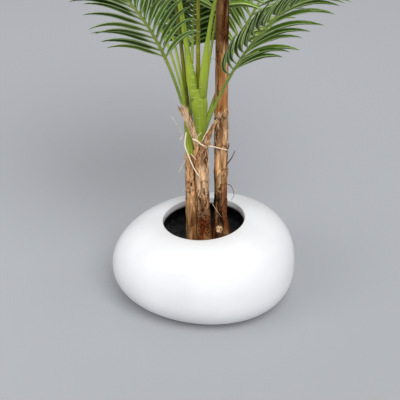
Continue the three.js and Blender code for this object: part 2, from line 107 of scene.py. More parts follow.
class Modeller:
    """Shapes that several sub-assemblies share, made with bmesh operators."""

    @staticmethod
    def spin(profile: Sequence[Point], segments: int) -> bmesh.types.BMesh:
        """Spin a line of points once round the upright axis.

        Args:
            profile: The points of the line.
            segments: How many steps the turn takes.

        Returns:
            The new mesh.
        """
        bm = bmesh.new()
        verts = [bm.verts.new(point) for point in profile]
        edges = [bm.edges.new(pair) for pair in zip(verts, verts[1:])]
        bmesh.ops.spin(bm, geom=[*verts, *edges], cent=(0, 0, 0), axis=(0, 0, 1),
                       angle=TURN, steps=segments, use_merge=True)
        bmesh.ops.remove_doubles(bm, verts=bm.verts, dist=1e-4)
        return bm

    @staticmethod
    def paint(verts: Sequence[bmesh.types.BMVert], index: int) -> None:
        """Give the faces around some vertices one of the piece's materials."""
        for face in {face for vert in verts for face in vert.link_faces}:
            face.material_index = index

    @staticmethod
    def sweep(bm: bmesh.types.BMesh, stations: Sequence[Station],
              sides: int) -> list[bmesh.types.BMVert]:
        """Extrude a ring through stations and close both of its ends.

        Args:
            bm: The mesh that receives the limb.
            stations: The cross-sections in order.
            sides: How many corners the ring has.

        Returns:
            The vertices of the limb, ring by ring.
        """
        ring = bmesh.ops.create_circle(bm, cap_ends=True, segments=sides, radius=1.0)["verts"]
        made = list(ring)
        edges = list({edge for vert in ring for edge in vert.link_edges})
        for vert in ring:
            vert.co = Modeller.on_station(stations[0], vert.co.x, vert.co.y)
        for before, station in zip(stations, stations[1:]):
            geometry = bmesh.ops.extrude_edge_only(bm, edges=edges)["geom"]
            verts = [item for item in geometry if isinstance(item, bmesh.types.BMVert)]
            fresh = set(verts)
            edges = [
                item for item in geometry
                if isinstance(item, bmesh.types.BMEdge) and set(item.verts) <= fresh
            ]
            for vert in verts:
                arm = vert.co - before.centre
                x = arm.dot(before.side) / before.half_width
                y = arm.dot(before.up) / before.half_depth
                vert.co = Modeller.on_station(station, x, y)
            made += verts
        bmesh.ops.contextual_create(bm, geom=edges)
        return made

    @staticmethod
    def limb(stations: Sequence[Station], sides: int) -> bmesh.types.BMesh:
        """Sweep a limb of its own.

        Args:
            stations: The cross-sections in order.
            sides: How many corners the ring has.

        Returns:
            The new mesh, with its faces turned outwards.
        """
        bm = bmesh.new()
        Modeller.sweep(bm, stations, sides)
        bmesh.ops.recalc_face_normals(bm, faces=bm.faces)
        return bm

    @staticmethod
    def on_station(station: Station, x: float, y: float) -> Vector:
        """Return the point at ring coordinates x, y of a station."""
        across = station.side * (x * station.half_width)
        return station.centre + across + station.up * (y * station.half_depth)

    @staticmethod
    def tube(bm: bmesh.types.BMesh, points: Sequence[Vector], radius: Callable[[float], float],
             sides: int) -> list[bmesh.types.BMVert]:
        """Sweep a round tube along a smoothed route.

        Args:
            bm: The mesh that receives the tube.
            points: The route's points.
            radius: Gives the radius at a share of the route.
            sides: How many corners the ring has.

        Returns:
            The tube's vertices.
        """
        stations = []
        last = len(points) - 1
        side = Vector((1, 0, 0))
        for i, point in enumerate(points):
            along = (points[min(last, i + 1)] - points[max(0, i - 1)]).normalized()
            side = (side - along * side.dot(along)).normalized()
            size = radius(i / last)
            stations.append(Station(point, side, along.cross(side), size, size))
        return Modeller.sweep(bm, stations, sides)

    @staticmethod
    def smooth_route(points: Sequence[Point], steps: int) -> list[Vector]:
        """Return points on a smooth line through the given ones.

        Args:
            points: Corner points of the route, in metres.
            steps: How many pieces each stretch between two points gets.

        Returns:
            The points of the smoothed route.
        """
        corners = [Vector(point) for point in points]
        ends = [corners[0] * 2 - corners[1], *corners, corners[-1] * 2 - corners[-2]]
        route = []
        for a, b, c, d in zip(ends, ends[1:], ends[2:], ends[3:]):
            for i in range(steps):
                t = i / steps
                route.append(0.5 * (
                    2 * b + (c - a) * t + (2 * a - 5 * b + 4 * c - d) * t ** 2
                    + (3 * b - a - 3 * c + d) * t ** 3))
        return [*route, corners[-1]]

    @staticmethod
    def finish(name: str, bm: bmesh.types.BMesh, slot: str,
               materials: Sequence[bpy.types.Material], replaces: Sequence[str] = (),
               recalc: bool = True) -> bpy.types.Object:
        """Turn a bmesh into a piece that rides on the plant.

        Args:
            name: The piece's name.
            bm: The finished mesh.
            slot: Not used.
            materials: The piece's materials, in slot order.
            replaces: The frame's nodes that the piece stands for.
            recalc: Whether faces are turned to point outwards.

        Returns:
            The new object.
        """
        if recalc:
            bmesh.ops.recalc_face_normals(bm, faces=bm.faces)
        for face in bm.faces:
            face.smooth = True
        mesh = bpy.data.meshes.new(name)
        bm.to_mesh(mesh)
        bm.free()
        for material in materials:
            mesh.materials.append(material)
        piece = add_object(name, mesh)
        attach(piece, "root")
        if replaces:
            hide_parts(*replaces)
        log.info("%s: %d faces", name, len(mesh.polygons))
        return piece


class NodeTree:
    """A thin wrapper that adds and links shader nodes."""

    def __init__(self, tree: bpy.types.NodeTree) -> None:
        """Wrap a node tree."""
        self.tree = tree

    def add(self, kind: str, **settings: object) -> bpy.types.Node:
        """Add a node.

        Args:
            kind: The node's type name.
            settings: Node properties, or values of inputs written with a leading i_.

        Returns:
            The new node.
        """
        node = self.tree.nodes.new(kind)
        for key, value in settings.items():
            if key.startswith("i_"):
                node.inputs[key[2:].replace("_", " ")].default_value = value
            else:
                setattr(node, key, value)
        return node

    def link(self, source: Socket, target: Socket) -> None:
        """Link an output socket to an input socket."""
        self.tree.links.new(source, target)

    def feed(self, target: Socket, value: Socket | Colour | float) -> None:
        """Feed an input.

        Args:
            target: The input.
            value: A socket to link, or a colour or a number to set.
        """
        if isinstance(value, Socket):
            self.link(value, target)
        else:
            target.default_value = (*value, 1) if isinstance(value, tuple) else value

    def ramp(self, factor: Socket, *stops: tuple[float, Colour]) -> Socket:
        """Add a colour ramp.

        Args:
            factor: The socket that drives the ramp.
            stops: Positions and colours, lowest first.

        Returns:
            The ramp's colour output.
        """
        node = self.add("ShaderNodeValToRGB")
        elements = node.color_ramp.elements
        while len(elements) < len(stops):
            elements.new(0.5)
        for element, (position, colour) in zip(elements, stops):
            element.position = position
            element.color = (*colour, 1)
        self.link(factor, node.inputs["Fac"])
        return node.outputs["Color"]

    def mask(self, factor: Socket, *stops: tuple[float, float]) -> Socket:
        """Add a grey ramp through positions and values, lowest first, and return its output."""
        return self.ramp(factor, *((position, (value,) * 3) for position, value in stops))

    def blend(self, factor: Socket | float, first: Socket | Colour, second: Socket | Colour,
              mode: str = "MIX") -> Socket:
        """Mix two colours.

        Args:
            factor: A socket or a plain number.
            first: A socket or a colour.
            second: A socket or a colour.
            mode: How the second is laid over the first.

        Returns:
            The mixed colour output.
        """
        node = self.add("ShaderNodeMix", data_type="RGBA", blend_type=mode)
        for at, value in ((0, factor), (6, first), (7, second)):
            self.feed(node.inputs[at], value)
        return node.outputs[2]

    def math(self, operation: str, first: Socket | float, second: Socket | float = 0.0,
             clamp: bool = False) -> Socket:
        """Add a math node and return its output.

        Args:
            operation: The node's operation.
            first: A socket or a number.
            second: A socket or a number.
            clamp: Whether the result is held between 0 and 1.

        Returns:
            The value output.
        """
        node = self.add("ShaderNodeMath", operation=operation, use_clamp=clamp)
        for socket, value in zip(node.inputs, (first, second)):
            self.feed(socket, value)
        return node.outputs[0]

    def weighted(self, first: Socket, first_share: float, second: Socket,
                 second_share: float) -> Socket:
        """Add up two values by their shares and return the sum."""
        return self.math("ADD", self.math("MULTIPLY", first, first_share),
                         self.math("MULTIPLY", second, second_share))

    def mapped(self, scale: Point) -> Socket:
        """Read the piece's own coordinates, scaled along each axis.

        Args:
            scale: The scale along each axis.

        Returns:
            The vector output.
        """
        coordinates = self.add("ShaderNodeTexCoord")
        mapping = self.add("ShaderNodeMapping")
        mapping.inputs["Scale"].default_value = scale
        self.link(coordinates.outputs["Object"], mapping.inputs["Vector"])
        return mapping.outputs["Vector"]

    def streaks(self, scale: Point, detail: float) -> Socket:
        """Add noise stretched along one direction.

        Args:
            scale: Noise scale along each axis.
            detail: Noise detail.

        Returns:
            The noise's value output.
        """
        texture = self.add("ShaderNodeTexNoise", i_Scale=1.0, i_Detail=detail)
        self.link(self.mapped(scale), texture.inputs["Vector"])
        return texture.outputs["Fac"]

    def cells(self, scale: Point, feature: str) -> bpy.types.Node:
        """Add a cell texture.

        Args:
            scale: Cells to a metre along each axis.
            feature: What of the cells is measured.

        Returns:
            The texture node.
        """
        texture = self.add("ShaderNodeTexVoronoi", feature=feature, i_Scale=1.0)
        self.link(self.mapped(scale), texture.inputs["Vector"])
        return texture


class Finish:
    """Steps that all finishes share: the start of a material, and its bump."""

    @staticmethod
    def start(name: str, roughness: float,
              gloss: float = 0.5) -> tuple[bpy.types.Material, NodeTree, bpy.types.Node]:
        """Start a material.

        Args:
            name: The material's name.
            roughness: The shader's plain roughness.
            gloss: The shader's plain specular level.

        Returns:
            The material, its node tree and its shader.
        """
        material = bpy.data.materials.new(name)
        material.use_nodes = True
        shader = material.node_tree.nodes["Principled BSDF"]
        shader.inputs["Roughness"].default_value = roughness
        shader.inputs["Specular IOR Level"].default_value = gloss
        return material, NodeTree(material.node_tree), shader

    @staticmethod
    def relief(tree: NodeTree, shader: bpy.types.Node, height: Socket, strength: float,
               distance: float) -> None:
        """Feed a height into the shader's normal.

        Args:
            tree: The material's nodes.
            shader: The shader.
            height: The height socket.
            strength: The bump's strength.
            distance: The bump's depth in metres.
        """
        bump = tree.add("ShaderNodeBump", i_Strength=strength, i_Distance=distance)
        tree.link(height, bump.inputs["Height"])
        tree.link(bump.outputs["Normal"], shader.inputs["Normal"])


@dataclass(frozen=True)
class UprightFibres:
    """The shared group that turns coordinates into coarse and fine upright fibres."""

    coarse_stretch: Point = (16, 16, 4.5)
    coarse_detail: float = 6.0
    coarse_height: float = 0.4
    fine_stretch: Point = (95, 95, 9.0)
    fine_detail: float = 8.0
    fine_height: float = 0.7
    distortion: float = 0.35

    def build(self) -> bpy.types.NodeTree:
        """Build the group.

        Returns:
            The group, with Coarse, Fine and Height outputs.
        """
        group = bpy.data.node_groups.new("upright fibres", "ShaderNodeTree")
        face = group.interface
        face.new_socket("Pitch", in_out="INPUT", socket_type="NodeSocketFloat")
        for name in ("Coarse", "Fine", "Height"):
            face.new_socket(name, in_out="OUTPUT", socket_type="NodeSocketFloat")
        tree = NodeTree(group)
        entry = tree.add("NodeGroupInput")
        leave = tree.add("NodeGroupOutput")
        coordinates = tree.add("ShaderNodeTexCoord")
        values = []
        for stretch, detail in ((self.coarse_stretch, self.coarse_detail),
                                (self.fine_stretch, self.fine_detail)):
            scale = tree.add("ShaderNodeVectorMath", operation="MULTIPLY")
            scale.inputs[1].default_value = stretch
            tree.link(coordinates.outputs["Object"], scale.inputs[0])
            texture = tree.add("ShaderNodeTexNoise", i_Detail=detail,
                               i_Distortion=self.distortion)
            tree.link(scale.outputs[0], texture.inputs["Vector"])
            tree.link(entry.outputs["Pitch"], texture.inputs["Scale"])
            values.append(texture.outputs["Fac"])
        coarse, fine = values
        tree.link(coarse, leave.inputs["Coarse"])
        tree.link(fine, leave.inputs["Fine"])
        tree.link(tree.weighted(fine, self.fine_height, coarse, self.coarse_height),
                  leave.inputs["Height"])
        return group


@dataclass(frozen=True)
class FibreFinish:
    """Husk, straw and twig: upright strands over a few tones."""

    name: str
    light: Colour
    middle: Colour
    dark: Colour
    pitch: float = 1.0
    roughness: float = 0.82
    relief: float = 0.0016

    def build(self, fibres: bpy.types.NodeTree) -> bpy.types.Material:
        """Build the material.

        Args:
            fibres: The shared fibre group.

        Returns:
            The material.
        """
        material, tree, shader = Finish.start(self.name, self.roughness, 0.06)
        group = tree.add("ShaderNodeGroup", node_tree=fibres)
        group.inputs["Pitch"].default_value = self.pitch
        blend = tree.weighted(group.outputs["Coarse"], 0.45, group.outputs["Fine"], 0.55)
        colour = tree.ramp(blend, (0.38, self.dark), (0.48, self.middle), (0.58, self.light))
        tree.link(colour, shader.inputs["Base Color"])
        Finish.relief(tree, shader, group.outputs["Height"], 0.9, self.relief)
        return material


@dataclass(frozen=True)
class BarkFinish:
    """Fibrous bark: strands and flakes in tan and brown, with rust, orange, pale and pitted parts.

    The trunks carry two colour attributes. Zone holds the dark, rust and pale shares, and the other
    holds the orange share and the share of pits. The pits and the cracks between flakes are darkened
    as painted shade.
    """

    name: str = "bark"
    light: Colour = (1.0, 0.6, 0.29)
    tan: Colour = (0.55, 0.255, 0.085)
    brown: Colour = (0.13, 0.045, 0.012)
    dark: Colour = (0.012, 0.004, 0.002)
    rust: Colour = (0.25, 0.055, 0.014)
    orange: Colour = (0.21, 0.082, 0.015)
    orange_dark: Colour = (0.045, 0.011, 0.003)
    orange_light: Colour = (0.64, 0.3, 0.095)
    bleached: Colour = (0.98, 0.66, 0.4)
    pit_shade: Colour = (0.02, 0.005, 0.002)
    flake_shade: Colour = (0.34, 0.26, 0.21)
    roughness: float = 0.8

    FLAKES = (85, 85, 19)
    CRACKS = (62, 62, 13)
    HOLES = (200, 200, 150)

    @staticmethod
    def shares(tree: NodeTree, layer: str) -> bpy.types.Node:
        """Split one of the trunk's colour attributes into its shares.

        Args:
            tree: The material's nodes.
            layer: The attribute's name.

        Returns:
            The node with the Red, Green and Blue outputs.
        """
        attribute = tree.add("ShaderNodeVertexColor", layer_name=layer)
        split = tree.add("ShaderNodeSeparateColor")
        tree.link(attribute.outputs["Color"], split.inputs["Color"])
        return split

    def build(self, fibres: bpy.types.NodeTree) -> bpy.types.Material:
        """Build the material.

        Args:
            fibres: The shared fibre group.

        Returns:
            The material.
        """
        material, tree, shader = Finish.start(self.name, self.roughness, 0.06)
        group = tree.add("ShaderNodeGroup", node_tree=fibres)
        group.inputs["Pitch"].default_value = 1.0
        fine = group.outputs["Fine"]
        blend = tree.weighted(group.outputs["Coarse"], 0.5, fine, 0.5)
        colour = tree.ramp(blend, (0.37, self.dark), (0.42, self.brown), (0.47, self.tan),
                           (0.54, self.light))
        flakes = tree.cells(self.FLAKES, "F1")
        flake_tone = tree.ramp(flakes.outputs["Color"], (0.2, self.flake_shade), (0.7, (1, 1, 1)))
        cracks = tree.cells(self.CRACKS, "DISTANCE_TO_EDGE")
        crack = tree.mask(cracks.outputs["Distance"], (0.0, 0.75), (0.055, 0))
        zone, orange_and_pit_shade = self.shares(tree, "zone"), self.shares(tree, "orange_and_pit_shade")
        orange = tree.ramp(blend, (0.42, self.orange_dark), (0.485, self.orange),
                           (0.55, self.orange_light))
        colour = tree.blend(orange_and_pit_shade.outputs["Red"], colour, orange)
        colour = tree.blend(0.75, colour, flake_tone, "MULTIPLY")
        rust = tree.math("MULTIPLY", zone.outputs["Green"],
                         tree.math("ADD", fine, 0.35), clamp=True)
        colour = tree.blend(rust, colour, self.rust)
        pale = tree.math("MULTIPLY", zone.outputs["Blue"],
                         tree.math("MULTIPLY", fine, 1.5), clamp=True)
        colour = tree.blend(pale, colour, self.bleached)
        streak = tree.math("MULTIPLY", tree.math("SUBTRACT", blend, 0.43), 12.0, clamp=True)
        shade = tree.math("MULTIPLY", zone.outputs["Red"], streak, clamp=True)
        colour = tree.blend(shade, colour, self.dark)
        # Painted shade: the cracks between flakes are darkened where the bark is rough, and sunk a
        # little.
        rough = tree.math("MAXIMUM", tree.math("SUBTRACT", 1.0, orange_and_pit_shade.outputs["Red"]),
                          zone.outputs["Red"])
        crack_shade_and_dent = tree.math("MULTIPLY", crack, rough)
        colour = tree.blend(crack_shade_and_dent, colour, self.dark)
        # Painted shade: the pits are darkened nearly black, as the shade inside them, and sunk a
        # little.
        holes = tree.cells(self.HOLES, "F1")
        pit_shade_and_dent = tree.mask(holes.outputs["Distance"], (0.29, 1), (0.45, 0))
        pit_shade_and_dent = tree.math("MULTIPLY", pit_shade_and_dent, orange_and_pit_shade.outputs["Green"], clamp=True)
        colour = tree.blend(pit_shade_and_dent, colour, self.pit_shade)
        tree.link(colour, shader.inputs["Base Color"])
        height = tree.math("SUBTRACT", group.outputs["Height"],
                           tree.weighted(pit_shade_and_dent, 0.5, crack_shade_and_dent, 0.35))
        Finish.relief(tree, shader, height, 1.0, 0.0026)
        return material


@dataclass(frozen=True)
class SkinFinish:
    """The smooth green skin of shafts and stalks, finely striped along its length."""

    name: str
    light: Colour
    dark: Colour
    roughness: float = 0.38

    STRIPES = (260, 260, 5)
    CLOUDS = (16, 16, 5)

    def build(self) -> bpy.types.Material:
        """Build the material.

        Returns:
            The material.
        """
        material, tree, shader = Finish.start(self.name, self.roughness, 0.35)
        stripe = tree.streaks(self.STRIPES, 4.0)
        cloud = tree.streaks(self.CLOUDS, 3.0)
        tone = tree.weighted(stripe, 0.4, cloud, 0.6)
        colour = tree.ramp(tone, (0.36, self.dark), (0.62, self.light))
        tree.link(colour, shader.inputs["Base Color"])
        Finish.relief(tree, shader, stripe, 0.35, 0.0006)
        return material


@dataclass(frozen=True)
class LeafFinish:
    """A leaflet of printed fabric: a pale midrib, fine lengthwise veins, light margins, and one half
    darkened as painted shade.
    """

    name: str
    blade: Colour
    shade: Colour
    rib: Colour
    roughness: float = 0.4

    CLOUDS = (11, 11, 11)

    def build(self) -> bpy.types.Material:
        """Build the material.

        Returns:
            The material.
        """
        material, tree, shader = Finish.start(self.name, self.roughness, 0.18)
        uv = tree.add("ShaderNodeUVMap", uv_map="UVMap")
        split = tree.add("ShaderNodeSeparateXYZ")
        tree.link(uv.outputs["UV"], split.inputs["Vector"])
        off_rib = tree.math("ABSOLUTE", tree.math("SUBTRACT", split.outputs["X"], 0.5))
        rib = tree.mask(off_rib, (0.0, 1), (0.06, 0.9), (0.12, 0))
        vein = tree.add("ShaderNodeTexWave", i_Scale=5.0, i_Distortion=0.5, i_Detail=2.0)
        tree.link(uv.outputs["UV"], vein.inputs["Vector"])
        cloud = tree.streaks(self.CLOUDS, 3.0)
        tone = tree.weighted(vein.outputs["Fac"], 0.4, cloud, 0.7)
        colour = tree.ramp(tone, (0.34, self.shade), (0.74, self.blade))
        # Painted shade: one half of each leaflet is darkened, as if its fold turns that half away
        # from the light.
        painted_shade_half = tree.mask(split.outputs["X"], (0.46, 0.48), (0.54, 1))
        colour = tree.blend(1.0, colour, painted_shade_half, "MULTIPLY")
        edge = tree.mask(off_rib, (0.36, 0), (0.48, 0.75))
        colour = tree.blend(edge, colour, self.rib)
        root = tree.mask(split.outputs["Y"], (0.0, 0.7), (0.22, 0))
        colour = tree.blend(root, colour, self.rib)
        colour = tree.blend(rib, colour, self.rib)
        tree.link(colour, shader.inputs["Base Color"])
        height = tree.math("ADD", vein.outputs["Fac"], tree.math("MULTIPLY", rib, 2.0))
        Finish.relief(tree, shader, height, 0.5, 0.0005)
        return material


@dataclass(frozen=True)
class LacquerFinish:
    """The pot's satin white coat, very slightly uneven."""

    name: str = "satin white coat"
    colour: Colour = (0.86, 0.865, 0.88)
    dust: Colour = (0.8, 0.8, 0.81)
    roughness: float = 0.36
    smoothest: float = 0.3
    roughest: float = 0.46
    coat: float = 0.15
    coat_roughness: float = 0.25

    CLOUDS = (5, 5, 5)
    GRAIN = (420, 420, 420)

    def build(self) -> bpy.types.Material:
        """Build the material.

        Returns:
            The material.
        """
        material, tree, shader = Finish.start(self.name, self.roughness)
        cloud = tree.streaks(self.CLOUDS, 3.0)
        fine = tree.streaks(self.GRAIN, 2.0)
        colour = tree.ramp(cloud, (0.4, self.dust), (0.6, self.colour))
        tree.link(colour, shader.inputs["Base Color"])
        rough = tree.add("ShaderNodeMapRange")
        rough.inputs["To Min"].default_value = self.smoothest
        rough.inputs["To Max"].default_value = self.roughest
        tree.link(cloud, rough.inputs["Value"])
        tree.link(rough.outputs["Result"], shader.inputs["Roughness"])
        shader.inputs["Coat Weight"].default_value = self.coat
        shader.inputs["Coat Roughness"].default_value = self.coat_roughness
        height = tree.math("ADD", tree.math("MULTIPLY", cloud, 6.0), fine)
        Finish.relief(tree, shader, height, 0.12, 0.0003)
        return material


@dataclass(frozen=True)
class SoilFinish:
    """Nearly black soil with a few brown crumbs."""

    name: str
    dark: Colour = (0.003, 0.003, 0.003)
    crumb: Colour = (0.027, 0.025, 0.025)
    roughness: float = 0.85

    GRAIN = (70, 70, 70)

    def build(self) -> bpy.types.Material:
        """Build the material.

        Returns:
            The material.
        """
        material, tree, shader = Finish.start(self.name, self.roughness)
        grain = tree.streaks(self.GRAIN, 6.0)
        colour = tree.ramp(grain, (0.45, self.dark), (0.68, self.crumb))
        tree.link(colour, shader.inputs["Base Color"])
        Finish.relief(tree, shader, grain, 0.9, 0.003)
        return material


@dataclass(frozen=True)
class MarkFinish:
    """The pale, slightly waxy scars on the green skin."""

    name: str = "pale mark"
    light: Colour = (0.75, 0.8, 0.4)
    dark: Colour = (0.5, 0.6, 0.16)
    roughness: float = 0.5

    GRAIN = (300, 300, 300)

    def build(self) -> bpy.types.Material:
        """Build the material.

        Returns:
            The material.
        """
        material, tree, shader = Finish.start(self.name, self.roughness, 0.2)
        grain = tree.streaks(self.GRAIN, 3.0)
        colour = tree.ramp(grain, (0.35, self.dark), (0.6, self.light))
        tree.link(colour, shader.inputs["Base Color"])
        return material


class LeafTone(Enum):
    """The greens that leaflets are dealt, darkest first; the darkest is a painted shade green."""

    # Painted shade: a darkened green for the back fronds that lie in shade, also dealt now and then
    # to deep green leaflets.
    NIGHT = LeafFinish("leaf green in painted shade", (0.024, 0.07, 0.006), (0.005, 0.017, 0.002),
                       (0.14, 0.25, 0.045))
    DEEP = LeafFinish("leaf deep green", (0.09, 0.2, 0.013), (0.016, 0.05, 0.004),
                      (0.5, 0.68, 0.24))
    FULL = LeafFinish("leaf full green", (0.145, 0.295, 0.02), (0.03, 0.085, 0.007),
                      (0.66, 0.83, 0.36))
    FRESH = LeafFinish("leaf fresh green", (0.29, 0.5, 0.035), (0.1, 0.22, 0.014),
                       (0.74, 0.88, 0.4))

    def near(self, wild: random.Random) -> int:
        """Return this tone's place, or now and then that of a lighter or darker one."""
        at = list(LeafTone).index(self) + wild.choice((-1, 0, 0, 0, 0, 1))
        return min(len(LeafTone) - 1, max(0, at))


class StalkTone(Enum):
    """The greens of the stalks."""

    GREEN = SkinFinish("stalk green", (0.38, 0.48, 0.06), (0.18, 0.27, 0.02))
    LIME = SkinFinish("stalk lime", (0.37, 0.47, 0.045), (0.19, 0.27, 0.02))
    OLIVE = SkinFinish("stalk olive", (0.33, 0.32, 0.02), (0.06, 0.07, 0.006))


@dataclass
class Stem:
    """One stem: a bark-covered trunk, then a green shaft."""

    name: str
    foot: tuple[float, float]
    bark: Point
    tip: Point
    flare: float
    radius: float
    shaft_foot: tuple[float, float]
    shaft_tip: tuple[float, float]

    FLARE_HEIGHT = 0.09
    TAPER = 0.87

    def axis(self, z: float) -> Vector:
        """Work out a point of the stem's axis.

        Args:
            z: The height.

        Returns:
            The point.
        """
        if z <= self.bark[2]:
            t = (z - SOIL_TOP) / (self.bark[2] - SOIL_TOP)
            return Vector((mix(self.foot[0], self.bark[0], t), mix(self.foot[1], self.bark[1], t), z))
        t = (z - self.bark[2]) / (self.tip[2] - self.bark[2])
        return Vector((mix(self.bark[0], self.tip[0], t), mix(self.bark[1], self.tip[1], t), z))

    def trunk_radius(self, z: float) -> float:
        """Work out the trunk's plain radius, with its root flare.

        Args:
            z: The height.

        Returns:
            The radius.
        """
        t = (z - SOIL_TOP) / (self.bark[2] - SOIL_TOP)
        flare = (self.flare - self.radius) * (1 - smooth((z - SOIL_TOP) / self.FLARE_HEIGHT))
        return self.radius * mix(1, self.TAPER, t) + flare

    def shaft_sizes(self, z: float) -> tuple[float, float]:
        """Work out the shaft's cross-section.

        Args:
            z: The height.

        Returns:
            The half width and the half depth.
        """
        t = smooth((z - self.bark[2]) / (self.tip[2] - self.bark[2]))
        return (mix(self.shaft_foot[0], self.shaft_tip[0], t),
                mix(self.shaft_foot[1], self.shaft_tip[1], t))

    def station(self, z: float, half_width: float, half_depth: float) -> Station:
        """Return a level cross-section of the stem."""
        return Station(self.axis(z), Vector((1, 0, 0)), Vector((0, 1, 0)), half_width, half_depth)

    def around(self, place: Vector) -> tuple[Vector, float]:
        """Find out on which side of the stem a place lies.

        Args:
            place: The place.

        Returns:
            The level direction away from the axis, and its angle.
        """
        arm = (place - self.axis(place.z)).xy
        return arm.normalized(), math.atan2(arm.y, arm.x)


STEMS = {
    "left": Stem("left", (-0.0315, 0.008), (-0.034, 0.008, 0.443), (-0.041, 0.012, 0.565),
                 flare=0.017, radius=0.015, shaft_foot=(0.0135, 0.0135),
                 shaft_tip=(0.011, 0.0105)),
    "middle": Stem("middle", (0.002, -0.010), (-0.007, -0.010, 0.476), (-0.013, -0.010, 0.618),
                   flare=0.0195, radius=0.0168, shaft_foot=(0.0125, 0.012),
                   shaft_tip=(0.022, 0.008)),
    "tall": Stem("tall", (0.045, 0.008), (0.041, 0.008, 0.985), (0.040, 0.008, 1.112),
                 flare=0.025, radius=0.017, shaft_foot=(0.0145, 0.0145),
                 shaft_tip=(0.012, 0.012)),
}


@dataclass(frozen=True)
class FrondSpec:
    """How one frond grows: lengths in metres, angles in degrees.

    Heading 0 is +X and 90 is +Y. The stalk starts on the stem's axis at height z. The skews
    are how much one row of leaflets spreads, droops and curls above the mean of both rows.
    """

    name: str
    stem: str
    z: float
    heading: float
    lean: float
    bend: float
    petiole: float = 0.260
    blade: float = 0.480
    foot: float = 0.0065
    neck: float = 0.0046
    shift: tuple[float, float] = (0.0, 0.0)
    sweep: float = 0.0
    roll: float = 0.0
    twist: float = 0.0
    droop: float = 0.9
    droop_skew: float = 0.0
    curl: float = 0.4
    curl_skew: float = 0.0
    rise: float = 10.0
    spread: float = 50.0
    spread_skew: float = 0.0
    closing: float = 24.0
    leaflet: float = 0.175
    first_share: float = 0.72
    bare_right: float = 0.0
    tilt: float = 0.0
    clasp: float = 0.0
    clasp_gap: float = 0.0
    clasp_width: float = 0.0
    pairs: int = 20
    leaflet_width: float = 0.0145
    tone: LeafTone = LeafTone.FULL
    stalk: StalkTone = StalkTone.GREEN


VISIBLE_FRONDS = (
    FrondSpec("middle_1", "middle", 0.588, 127, 13.4, 40, petiole=0.300, foot=0.011,
              neck=0.0042, shift=(-0.0115, 0), clasp=1.0,
              clasp_gap=0.003, clasp_width=0.55, stalk=StalkTone.LIME),
    FrondSpec("middle_2", "middle", 0.588, -40, 4.7, 78, petiole=0.370, blade=0.450, foot=0.011,
              neck=0.005, shift=(0.0065, 0), clasp=1.0,
              clasp_gap=0.006, clasp_width=0.25, stalk=StalkTone.LIME),
    FrondSpec("middle_3", "middle", 0.478, -70, 32.7, 27.2, sweep=20.4, petiole=0.267,
              blade=0.470, foot=0.005, neck=0.0034, roll=2, twist=-22.6, droop=0.72,
              droop_skew=-1.1, curl=2.3, curl_skew=0.5, rise=-7, spread=29, spread_skew=10,
              closing=-20, leaflet=0.172, first_share=0.94, bare_right=0.06, tilt=70, pairs=22,
              leaflet_width=0.013),
    FrondSpec("middle_4", "middle", 0.560, 90, 6.2, 49, petiole=0.290, foot=0.0075,
              neck=0.0055, shift=(-0.004, 0.008), pairs=36, leaflet_width=0.022,
              tone=LeafTone.NIGHT, stalk=StalkTone.OLIVE),
    FrondSpec("middle_5", "middle", 0.540, 128, 10, 66, sweep=-22, petiole=0.270, foot=0.0055,
              neck=0.004, shift=(-0.008, 0.006), pairs=24, leaflet_width=0.018,
              tone=LeafTone.DEEP),
    FrondSpec("middle_6", "middle", 0.545, 62, 11.5, 35, sweep=-30, petiole=0.250, foot=0.005,
              neck=0.0028, shift=(0.008, 0.006), spread=66, droop=1.7, rise=0,
              pairs=26, leaflet_width=0.017, tone=LeafTone.FRESH, stalk=StalkTone.LIME),
    FrondSpec("middle_7", "middle", 0.488, 42, 25, 62, petiole=0.235, spread=58, droop=1.3,
              pairs=24, leaflet_width=0.016, tone=LeafTone.FRESH),
    FrondSpec("left_1", "left", 0.500, 258, 33.6, 33.3, sweep=-15.3, petiole=0.302, blade=0.500,
              foot=0.005, neck=0.0036, roll=-22, droop=1.09, curl=0.31, rise=7.3, spread=40,
              closing=30, leaflet=0.157, first_share=0.95),
    FrondSpec("left_2", "left", 0.540, 116, 10.8, 46, petiole=0.280, neck=0.0048,
              stalk=StalkTone.OLIVE),
    FrondSpec("left_3", "left", 0.520, 140, 9.5, 53, sweep=34, petiole=0.270, foot=0.005,
              neck=0.0034),
    FrondSpec("left_4", "left", 0.515, 201, 10.1, 73, petiole=0.260, foot=0.005, neck=0.0034),
    FrondSpec("left_5", "left", 0.480, 86, 24, 52, petiole=0.225, spread=58, droop=2.3,
              rise=-6, leaflet=0.155, pairs=36, leaflet_width=0.021, tone=LeafTone.NIGHT),
)


@dataclass(frozen=True)
class TallCrown:
    """The tall stem's spiral of fronds, oldest first, ending in a short spear."""

    count: int = 10
    first_heading: float = 18.0
    turn: float = 137.5
    low_z: float = 1.000
    high_z: float = 1.086
    low_lean: float = 38.0
    high_lean: float = 5.0
    low_bend: float = 62.0
    high_bend: float = 22.0
    petiole: float = 0.165
    blade: float = 0.500
    spear_blade: float = 0.400
    sweep: float = 16.0
    roll: float = 10.0

    def specs(self) -> list[FrondSpec]:
        """Work out how the crown's fronds grow.

        Returns:
            The fronds, oldest first.
        """
        tones = (LeafTone.FULL, LeafTone.DEEP, LeafTone.FULL, LeafTone.FRESH)
        fronds = []
        for i in range(self.count):
            t = i / (self.count - 1)
            fronds.append(FrondSpec(
                f"tall_{i + 1}", "tall", mix(self.low_z, self.high_z, t),
                self.first_heading + self.turn * i, mix(self.low_lean, self.high_lean, t),
                mix(self.low_bend, self.high_bend, t * t), petiole=self.petiole,
                blade=self.spear_blade if i == self.count - 1 else self.blade,
                sweep=self.sweep * (1 if i % 2 else -1), roll=self.roll * (i % 3 - 1),
                tone=tones[i % len(tones)]))
        return fronds


